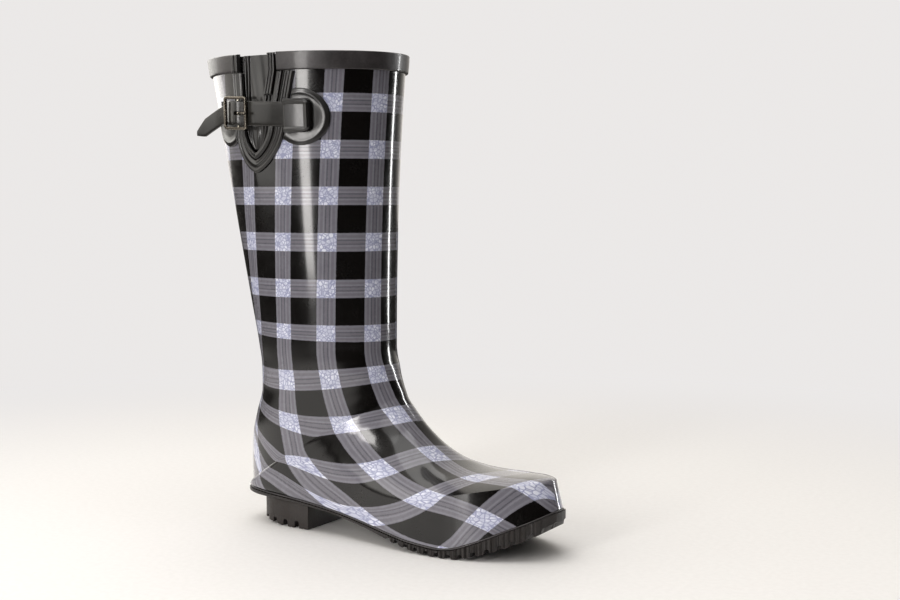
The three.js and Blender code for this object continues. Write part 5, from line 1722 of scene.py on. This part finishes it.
        def skin(sign: int) -> Array:
            """One face of the tab."""
            lift = sign * half[None, :]
            local = np.stack([line[:, :1] + side[:, :1] * lift,
                    np.broadcast_to(share * self.tab_width / 2, (len(line), len(share))),
                    line[:, 1:] + side[:, 1:] * lift], axis=-1)
            return self.axes.place(local)

        middles = (line[:-1, 0] + line[1:, 0]) / 2
        reach = radius + h.tab / 2 + h.play + 0.2
        keep = ~((middles > -reach)[:, None] & (np.abs((share[:-1] + share[1:]) / 2) < slot)[None, :])
        return self.shop.slab("buckle_tab_wrap", skin(1), skin(-1), keep=keep, crease=50.0)

    def build(self) -> None:
        """Makes the strap and everything that holds it."""
        front = self.patch("front_patch", self.front_patch, 1)
        self.finish(front, Slot.TRIM, "anchor_patch_front")
        rear = self.patch("rear_patch", self.rear_patch, -1)
        self.finish(rear, Slot.TRIM, "anchor_patch_rear")
        self.finish(self.loop(), Slot.TRIM, "strap_anchor")
        self.finish(self.tab(), Slot.STRAP, "buckle_tab")
        band = self.band()
        self.palette.dress(band, Slot.STRAP)
        rear_height = self.heights.strap_rear
        start = self.axes.place(np.array([self.hinge + 1.4, 0, rear_height]))
        end = self.axes.place(np.array([self.hinge - 1.8, 0, rear_height]))
        tuple(self.shop.metres(start))
        tuple(self.shop.metres(end))
        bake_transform(band)
        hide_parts("strap", "strap_tail")
        LOG.info("%s: %d faces between boot and tail", band.name, len(band.data.polygons))


# The buckle.


@dataclass(frozen=True)
class Buckle(Assembly):
    """The metal frame with its pin, and the prong that turns on the pin."""

    heights: Heights
    axes: StrapFrame
    width: float = 23.4
    height: float = 26.0
    bar: float = 2.2
    corner: float = 1.9
    prong_width: float = 2.0
    prong_thickness: float = 1.4
    ring_wall: float = 1.2
    ring_half: float = 1.2

    @property
    def reach(self) -> float:
        """Distance from the pin to the middle of each upright bar."""
        return self.width / 2 - self.bar / 2

    def _profile(self, half_a: float, half_b: float, rounding: float) -> Array:
        """A rectangle with rounded corners, as offsets across and out."""
        points = []
        for sa, sb, start in ((1, 1, 0), (-1, 1, 90), (-1, -1, 180), (1, -1, 270)):
            for k in range(4):
                angle = math.radians(start + 30 * k)
                points.append((sa * (half_a - rounding) + rounding * math.cos(angle),
                        sb * (half_b - rounding) + rounding * math.sin(angle)))
        return np.array(points)

    def _tube(self, name: str, line: Array, profile: Array, closed: bool = False) -> Piece:
        """A bar of one profile along a line in the buckle's frame.

        Args:
            name: Its name.
            line: The bar's middle line.
            profile: Offsets across and out.
            closed: Whether the line joins up.

        Returns:
            The piece.
        """
        ahead = np.roll(line, -1, axis=0) if closed else np.vstack([line[1:], 2 * line[-1] - line[-2]])
        behind = np.roll(line, 1, axis=0) if closed else np.vstack([2 * line[0] - line[1], line[:-1]])
        along = unit(ahead - behind)
        out = unit(np.array([0, 0, 1.0]) - along * along[:, 2:])
        across = np.cross(along, out)
        loops = line[:, None] + profile[None, :, :1] * across[:, None] + profile[None, :, 1:] * out[:, None]
        return self.shop.sweep(name, self.axes.place(loops), closed=closed)

    def frame(self) -> Piece:
        """The frame's four bars, its pin and the cheeks that hold the pin."""
        h = self.heights
        front, rear = h.bar_over(h.strap_rest), h.bar_over(h.strap_rear)
        side = self.height / 2 - self.bar / 2
        line = []
        for sx, sy in ((1, -1), (1, 1), (-1, 1), (-1, -1)):
            start = {(1, -1): -90, (1, 1): 0, (-1, 1): 90, (-1, -1): 180}[(sx, sy)]
            for k in range(6):
                angle = math.radians(start + 18 * k)
                x = sx * (self.reach - self.corner) + self.corner * math.cos(angle)
                y = sy * (side - self.corner) + self.corner * math.sin(angle)
                line.append((x, y, lerp(rear, front, (x + self.reach) / (2 * self.reach))))
        bars = self._tube("buckle_bars", np.array(line), self._profile(self.bar / 2, self.bar / 2, 0.45), closed=True)
        turn = np.linspace(0, 2 * math.pi, 21)[:-1]
        circle = np.stack([np.cos(turn), np.sin(turn)], axis=1)
        reach = (self.height - 1) / 2
        rods = []
        for y, radius in ((-reach, 0.7), (-reach + 0.3, 1.0), (reach - 0.3, 1.0), (reach, 0.7)):
            along, out = (circle * radius * h.pin).T
            rods.append(np.stack([along, np.full(20, y), h.pin_middle + out], axis=1))
        pin = self.shop.sweep("buckle_pin", self.axes.place(np.array(rods)))
        parts = [bars, pin]
        top = (front + rear) / 2
        for sy in (-1, 1):
            rows = [np.array([(px, sy * side + py, z) for px, py in self._profile(1.0, self.bar / 2, 0.4)])
                for z in np.linspace(h.pin_middle - h.pin, top, 6)]
            parts.append(self.shop.sweep("buckle_cheek", self.axes.place(np.array(rows))))
        return self.shop.join("buckle_frame_bars", parts)

    def prong(self) -> Piece:
        """The prong: a ring on the pin and an arm that lies over the front bar."""
        h = self.heights
        inner = h.pin + h.play
        outer = inner + self.ring_wall
        over = h.bar_over(h.strap_rest) + self.bar / 2 + h.play + self.prong_thickness / 2 + 0.15
        knots = np.array([(inner + 0.5, 0, h.pin_middle + 0.5), (self.reach - self.bar / 2 - 4.2, 0, over - 1.9),
                (self.reach - self.bar / 2 - 0.9, 0, over), (self.reach + self.bar / 2 + 0.7, 0, over)])
        line = even_steps(flowing_line(knots), 40)
        arm = self._tube("prong_arm", line, self._profile(self.prong_width / 2, self.prong_thickness / 2, 0.4))
        middle, half = (inner + outer) / 2, (outer - inner) / 2
        profile = self._profile(half, self.ring_half, 0.3)
        loops = []
        for angle in np.linspace(0, 2 * math.pi, 37)[:-1]:
            radius = middle + profile[:, 0]
            along, out = radius * math.cos(angle), radius * math.sin(angle)
            loops.append(np.stack([along, profile[:, 1], h.pin_middle + out], axis=1))
        ring = self.shop.sweep("prong_ring", self.axes.place(np.array(loops)), closed=True)
        return self.shop.join("buckle_prong_arm", [arm, ring])

    def build(self) -> None:
        """Makes the frame and the prong."""
        self.finish(self.frame(), Slot.METAL, "buckle_frame", body="buckle")
        self.finish(self.prong(), Slot.METAL, "buckle_prong", body="prong")


# The bottom.


@dataclass(frozen=True)
class Bottom(Assembly):
    """The welt, the lugged outsole, the grooved heel block and the footbed."""

    flange: float = 1.6
    welt_thickness: float = 1.2
    welt_proud: float = 0.9
    lug_depth: float = 3.2
    lug_length: float = 5.6
    lug_pitch: float = 9.4
    tread_start: float = 152.0
    tread_end: float = 280.0
    heel_back: float = 12.0
    heel_breast: float = 72.0
    heel_side: float = 4.4
    bevel_start: float = 48.0
    bevel_rise: float = 3.6
    groove_width: float = 4.4
    groove_depth: float = 5.5
    groove_count: int = 4
    board_lift: float = 4.8
    footbed_thickness: float = 4.2
    footbed_play: float = 3.6
    tread: tuple[Pair, ...] = (
        (0.00, 24.8), (0.21, 22.6), (0.27, 20.6), (0.35, 18.0), (0.40, 15.4), (0.48, 11.4), (0.55, 7.0),
        (0.605, 3.6), (0.67, 0.9), (0.73, 0), (0.76, 0), (0.83, 3.8), (0.90, 10.4), (0.96, 18.0), (1, 24.5))

    def tread_z(self, x: Values) -> Values:
        """Height of the walking surface at a station."""
        length = self.form.foot_length
        return monotone([(share * length, z) for share, z in self.tread], np.clip(x, 0, length))

    def outline(self, depth: float, count: int = 900) -> tuple[Array, Array, Array]:
        """The outline under the foot, moved inwards by a depth.

        Args:
            depth: How far in, outwards when negative.
            count: How many stations.

        Returns:
            Stations, the outer side's y and the inner side's y.
        """
        rows = self.form.heel_row + (self.form.last_row - self.form.heel_row) * np.linspace(0, 1, count)
        at = self.form.sections(rows)
        length = self.form.foot_length
        x = depth + at["edge_x"] * (length - 2 * depth) / length
        inset = narrowing(depth, (at["outer_edge"] + at["inner_edge"]) / 2)
        return x, -(at["outer_edge"] - inset), at["inner_edge"] - inset

    def spread(self, x: Array, depth: float, t: Array) -> tuple[Array, Array, Array, Array]:
        """A grid under the foot, from the outer side to the inner side.

        Args:
            x: Its stations.
            depth: How far inside the outline it ends.
            t: Its shares of the way across.

        Returns:
            Every x and y, the distance to the nearer edge, and the middle line's y.
        """
        place, outer, inner = self.outline(depth)
        yo, yi = np.interp(x, place, outer)[:, None], np.interp(x, place, inner)[:, None]
        xx = np.broadcast_to(x[:, None], (len(x), len(t)))
        return xx, lerp(yo, yi, t[None, :]), np.minimum(t, 1 - t)[None, :] * np.abs(yi - yo), (yo + yi) / 2

    def feather_z(self, x: Values) -> Values:
        """Height of the upper's lower edge at a station."""
        rows = np.linspace(self.form.heel_row, self.form.last_row, 900)
        at = self.form.sections(rows)
        return np.interp(x, at["edge_x"], at["edge_z"])

    @staticmethod
    def stations(start: float, end: float, count: int) -> Array:
        """Stations that crowd together towards rounded ends."""
        x = np.linspace(start, end, count)
        near = (end - start) * 0.02 * np.linspace(0, 1, 14) ** 2.2
        return np.unique(np.concatenate([x[(x > start + near[-1]) & (x < end - near[-1])], start + near, end - near]))

    def welt(self) -> Piece:
        """The thin strip between the upper and the outsole."""
        rows = np.concatenate([self.form.fine_rows(150, float(self.form.heel_row)),
                self.form.heel_row + np.linspace(0, 1, 12)[1:-1] ** 2])
        rows = np.unique(rows)
        at = self.form.sections(rows)
        outer = np.stack([at["edge_x"], -at["outer_edge"], at["edge_z"]], axis=1)
        inner = np.stack([at["edge_x"], at["inner_edge"], at["edge_z"]], axis=1)[1:-1][::-1]
        line = even_steps(np.vstack([outer, inner, outer[:1]]), 421)[:-1]
        along = unit((np.roll(line, -3, axis=0) - np.roll(line, 3, axis=0)) * [1, 1, 0])
        out = np.cross(along, [0, 0, 1.0])
        centre = line.mean(axis=0)
        out = out * np.sign(((line - centre) * out).sum(axis=1).mean())
        t, p = self.welt_thickness, self.welt_proud
        profile = [(-3.6, 0), (p - 0.45, 0), (p - 0.1, 0.18), (p, t / 2), (p - 0.1, t - 0.18), (p - 0.45, t), (-3.6, t)]
        low = -self.form.layer_gap - t
        loops = np.stack([line + out * a + np.array([0, 0, low + b]) for a, b in profile], axis=1)
        return self.shop.sweep("sole_welt_strip", loops, closed=True, crease=60.0)

    def outsole(self) -> Piece:
        """The outsole with its broken lugs under the forefoot."""
        x = self.stations(-self.flange, self.form.foot_length + self.flange, 560)
        t = np.concatenate([[0, 0.012, 0.03], np.linspace(0.06, 0.94, 37), [0.97, 0.988, 1]])
        xx, yy, edge, middle = self.spread(x, -self.flange, t)
        high = self.feather_z(xx) - self.form.layer_gap * 2 - self.welt_thickness
        blend = self.lug_depth * ramp(xx, self.tread_start, self.tread_start + 14)
        phase = (xx + 0.9 * np.abs(np.mod(yy / 9.0, 2) - 1) * 2.2 - self.tread_start) / self.lug_pitch
        lug = ramp(np.abs(np.mod(phase, 1) - self.lug_length / self.lug_pitch / 2 - 0.02),
            self.lug_length / self.lug_pitch / 2 + 0.03, self.lug_length / self.lug_pitch / 2 - 0.03)
        lug = lug * ramp(np.abs(yy - middle - 2.5 * np.sin(xx / 9)), 0.9, 1.7)
        lug = lug * ramp(xx, self.tread_end, self.tread_end - 2)
        rag = 0.6 * np.sin(xx * 2.05 + 0.4) + 0.45 * np.sin(xx * 3.7) + 0.35 * np.sin(xx * 0.83 + yy * 0.21)
        forefoot = ramp(xx, self.tread_start - 6, self.tread_start + 12)
        low = self.tread_z(xx) + blend * (1 - lug)
        low = low + forefoot * (0.55 * np.maximum(0, rag) * ramp(edge, 7, 1)) + 0.5 * rolled(edge, 1.2) * (1 - forefoot)
        low = np.minimum(low, high - 0.8)
        out = (0.75 * rag * forefoot * ramp(edge, 5, 0))[..., None] * np.stack(
            [np.zeros_like(yy), np.sign(yy - middle), np.zeros_like(yy)], axis=-1)
        top = np.stack([xx, yy, high], axis=-1) + out * 0.7
        under = np.stack([xx, yy, low], axis=-1) + out
        return self.shop.slab("lugged_outsole", top, under, crease=40.0)

    def heel(self) -> Piece:
        """The heel block, bevelled at the back and grooved across its tread."""
        shift = self.heel_back - self.heel_side
        pitch = (self.heel_breast - self.heel_back) / (self.groove_count + 1)
        x = self.stations(self.heel_side, self.heel_breast - shift, 150)
        x = x[x <= self.heel_breast - shift]
        x = np.unique(np.append(x, self.heel_breast - shift))
        xx, yy, edge, _ = self.spread(x, self.heel_side, np.linspace(0, 1, 41))
        run = self.bevel_start - self.heel_back
        low = self.bevel_rise * np.clip((self.bevel_start - shift - xx) / run, 0, 1)
        place = xx + shift + 0.35 * np.sin(yy * 0.9)
        away = np.abs(np.mod(place - self.heel_back + pitch / 2, pitch) - pitch / 2)
        inside = (place > self.heel_back + pitch / 2) & (place < self.heel_breast - pitch / 2)
        groove = ramp(away, self.groove_width / 2 + 0.25, self.groove_width / 2 - 0.25) * inside
        low = np.maximum(low, lerp(low, self.groove_depth, groove))
        rag = np.maximum(0, 0.5 * np.sin(xx * 1.9) + 0.4 * np.sin(xx * 4.1 + yy))
        low = low + 0.5 * rag * ramp(edge, 3, 0)
        high = self.tread_z(xx + shift) - self.form.layer_gap
        top = np.stack([xx + shift, yy, high], axis=-1)
        under = np.stack([xx + shift, yy, low], axis=-1)
        return self.shop.slab("heel_block_tread", top, under, crease=40.0)

    def footbed(self) -> Piece:
        """The foam footbed, cupped at the heel and rounded along its edge."""
        form = self.form
        depth = form.shell_wall + form.layer_gap * 2.6 + form.stiffener_wall + form.lining_wall + self.footbed_play
        x = self.stations(depth, form.foot_length - depth, 160)
        t = (1 - np.cos(np.linspace(0, math.pi, 45))) / 2
        xx, yy, edge, _ = self.spread(x, depth, t)
        low = self.feather_z(xx) + self.board_lift + form.layer_gap
        cup = 1.1 * ramp(edge, 9, 1) * ramp(xx, 120, 40)
        arch = 0.9 * bump(xx, 105, 45) * ramp(t, 0.6, 1.0)[None, :]
        worn = 0.7 * bump(xx, 205, 40) * bump(t, 0.5, 0.5) + 0.6 * bump(xx, 40, 28) * bump(t, 0.5, 0.45)
        high = low + self.footbed_thickness - 0.9 - 1.3 * rolled(edge, 1.6) + cup + arch - worn + 0.5
        return self.shop.slab("soft_footbed", np.stack([xx, yy, high], axis=-1), np.stack([xx, yy, low], axis=-1),
            crease=60.0)

    def build(self) -> None:
        """Makes every piece under the foot."""
        self.finish(self.welt(), Slot.BAND, "sole_welt")
        self.finish(self.outsole(), Slot.SOLE, "outsole")
        heel = self.heel()
        self.shop.soften(heel, 0.35)
        self.finish(heel, Slot.SOLE, "heel_block")
        footbed = self.finish(self.footbed(), Slot.FOOTBED, "footbed")


@dataclass(frozen=True)
class HiddenParts(Assembly):
    """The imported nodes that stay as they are, inside the boot."""

    finishes: ClassVar[dict[str, Slot]] = {
        "heel_counter": Slot.STIFFENER, "toe_puff": Slot.STIFFENER, "bottom_filler": Slot.BOARD,
        "insole_board": Slot.BOARD, "shank": Slot.STEEL,
    }

    def build(self, nodes: dict[str, Piece]) -> None:
        """Gives each node its finish."""
        for name, slot in self.finishes.items():
            self.palette.dress_node(nodes[name], slot)
            LOG.info("%s: kept, finished as %s", name, slot.value)


# The studio.


@dataclass(frozen=True)
class Softbox:
    """A rectangular studio light, in metres, aimed at a place."""

    name: str
    place: Place
    target: Place
    size: Pair
    power: float
    colour: Colour = (1.0, 1.0, 1.0)
    mirrored_only: bool = False

    def build(self) -> None:
        """Hangs the light, which may show only in glossy reflections."""
        data = bpy.data.lights.new(self.name, "AREA")
        data.shape = "RECTANGLE"
        data.size, data.size_y = self.size
        data.energy, data.color = self.power, self.colour
        light = bpy.data.objects.new(self.name, data)
        light.location = self.place
        aim = Vector(self.target) - Vector(self.place)
        light.rotation_euler = aim.to_track_quat("-Z", "Y").to_euler()
        light.visible_camera = False
        light.visible_diffuse = not self.mirrored_only
        bpy.context.scene.collection.objects.link(light)


@dataclass(frozen=True)
class Studio:
    """The pale floor, the lights and the camera."""

    eye: Place = (0.5933, -0.9165, 0.2676)
    heading: float = 30.0
    tilt: float = 4.24
    lens: float = 54.87
    floor_reach: float = 9.0
    backdrop: Colour = (0.922, 0.912, 0.908)
    lights: tuple[Softbox, ...] = (
        Softbox("overhead", (-0.1, -0.2, 1.9), (0.0, 0.0, 0.0), (1.8, 1.6), 18.0, (1.0, 0.99, 0.98)),
        Softbox("tall_front_left", (-0.12, -1.55, 0.55), (-0.03, 0.0, 0.25), (0.28, 1.1), 12.5, (1.0, 0.97, 0.95)),
        Softbox("thin_right_rear", (0.95, 1.25, 0.55), (0.0, 0.0, 0.2), (0.10, 1.3), 12.0, (1.0, 1.0, 1.0), True),
        Softbox("rear_panel", (-1.5, 0.45, 0.9), (-0.1, 0.0, 0.3), (1.0, 1.3), 9.0, (1.0, 0.99, 0.95), True),
        Softbox("fill_left", (-1.3, -1.3, 0.6), (0.0, 0.0, 0.2), (0.9, 1.0), 4.5, (1.0, 0.98, 0.94), True),
        Softbox("toe_window", (0.55, -0.75, 1.25), (0.1, -0.03, 0.05), (0.8, 0.5), 1.6, (1.0, 0.98, 0.97), True),
    )

    def camera(self) -> None:
        """Sets the camera at eye height in front of the outer side."""
        data = bpy.data.cameras.new("studio_camera")
        data.sensor_width, data.lens = 36.0, self.lens
        data.clip_start, data.clip_end = 0.01, 60.0
        camera = bpy.data.objects.new("studio_camera", data)
        camera.location = self.eye
        camera.rotation_euler = (math.radians(90 - self.tilt), 0.0, math.radians(self.heading))
        bpy.context.scene.collection.objects.link(camera)
        bpy.context.scene.camera = camera

    def floor(self) -> None:
        """Lays a wide round floor that fades into the backdrop's tone."""
        data = bpy.data.meshes.new("pale_floor")
        shape = bmesh.new()
        rings = [[shape.verts.new((0, 0, 0))]]
        for radius in (0.15, 0.3, 0.5, 0.8, 1.3, 2.2, 4.0, self.floor_reach):
            rings.append([shape.verts.new((radius * math.cos(k * math.pi / 32), radius * math.sin(k * math.pi / 32), 0))
                    for k in range(64)])
        for k in range(64):
            shape.faces.new((rings[0][0], rings[1][k], rings[1][(k + 1) % 64]))
        for inner, outer in zip(rings[1:], rings[2:]):
            for k in range(64):
                shape.faces.new((inner[k], outer[k], outer[(k + 1) % 64], inner[(k + 1) % 64]))
        shape.to_mesh(data)
        shape.free()
        floor = bpy.data.objects.new("pale_floor", data)
        floor.location = (0, 0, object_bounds()[0][2] - 0.0002)
        bpy.context.scene.collection.objects.link(floor)
        floor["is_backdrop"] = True
        material = bpy.data.materials.new("floor_paper")
        material.use_nodes = True
        w = Wiring(material.node_tree)
        shader = material.node_tree.nodes["Principled BSDF"]
        grain = w.fit(w.noise(220, 4), 0.3, 0.7)
        tone = w.mix(grain, shade((0.95, 0.945, 0.94)), shade((0.965, 0.96, 0.955)))
        w.feed(tone, shader, "Base Color")
        w.fix(shader, {"Roughness": 0.75, "Specular IOR Level": 0.25})
        place = w.spot()
        far = w.add("VectorMath", {0: place}, operation="LENGTH").outputs["Value"]
        glow = w.add("Emission", {"Color": shade(self.backdrop), "Strength": 1.0})
        dim = w.add("Emission", {"Color": (1.0, 0.92, 0.84, 1.0), "Strength": 0.03})
        seen = w.add("MixShader", {0: w.add("LightPath").outputs["Is Camera Ray"]})
        w.feed(dim.outputs[0], seen, 1)
        w.feed(glow.outputs[0], seen, 2)
        mixer = w.add("MixShader", {0: w.fit(far, 0.3, 1.0)})
        w.feed(shader.outputs[0], mixer, 1)
        w.feed(seen.outputs[0], mixer, 2)
        w.feed(mixer.outputs[0], material.node_tree.nodes["Material Output"], "Surface")
        data.materials.append(material)

    def world(self) -> None:
        """Gives the backdrop its tone, and the reflections a darker room with a bright wall."""
        world = bpy.data.worlds.new("studio_room")
        world.use_nodes = True
        bpy.context.scene.world = world
        w = Wiring(world.node_tree)
        nodes = world.node_tree.nodes
        seen = nodes["Background"]
        seen.inputs["Color"].default_value = shade(self.backdrop)
        direction = w.add("TexCoord").outputs["Generated"]
        parts = w.add("SeparateXYZ", {0: direction})
        left = w.add("VectorMath", {0: direction, 1: (-0.94, 0.34, 0.0)}, operation="DOT_PRODUCT").outputs["Value"]
        wall = w.fit(left, -0.35, 0.95, 0.0, 1.15)
        roof = w.fit(parts.outputs[2], 0.3, 0.95, 0.0, 0.3)
        level = w.plus(w.plus(wall, roof), 0.012)
        room = w.add("Background", {"Color": (1.0, 0.95, 0.88, 1.0), "Strength": level})
        path = w.add("LightPath")
        mixer = w.add("MixShader", {0: path.outputs["Is Camera Ray"]})
        w.feed(room.outputs[0], mixer, 1)
        w.feed(seen.outputs[0], mixer, 2)
        w.feed(mixer.outputs[0], nodes["World Output"], "Surface")

    def build(self) -> None:
        """Sets up the whole studio."""
        bpy.context.scene.view_settings.view_transform = "Standard"
        self.camera()
        self.floor()
        self.world()
        for light in self.lights:
            light.build()


# Everything in order.


def main() -> None:
    """Builds the boot's sub-assemblies and the studio."""
    logging.basicConfig(level=logging.INFO, format="%(name)s %(message)s")
    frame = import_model()
    form, shield, heights = BootForm(), Shield(), Heights()
    axes = StrapFrame(form)
    shop, palette = Workshop(form), Palette()
    shop.find_place()
    tools = shop, palette, form
    Upper(*tools, shield).build()
    Gusset(*tools, shield, heights).build()
    Strap(*tools, shield, heights, axes).build()
    Buckle(*tools, heights, axes).build()
    Bottom(*tools).build()
    HiddenParts(*tools).build(frame["nodes"])
    Studio().build()


if __name__ == "__main__":
    main()
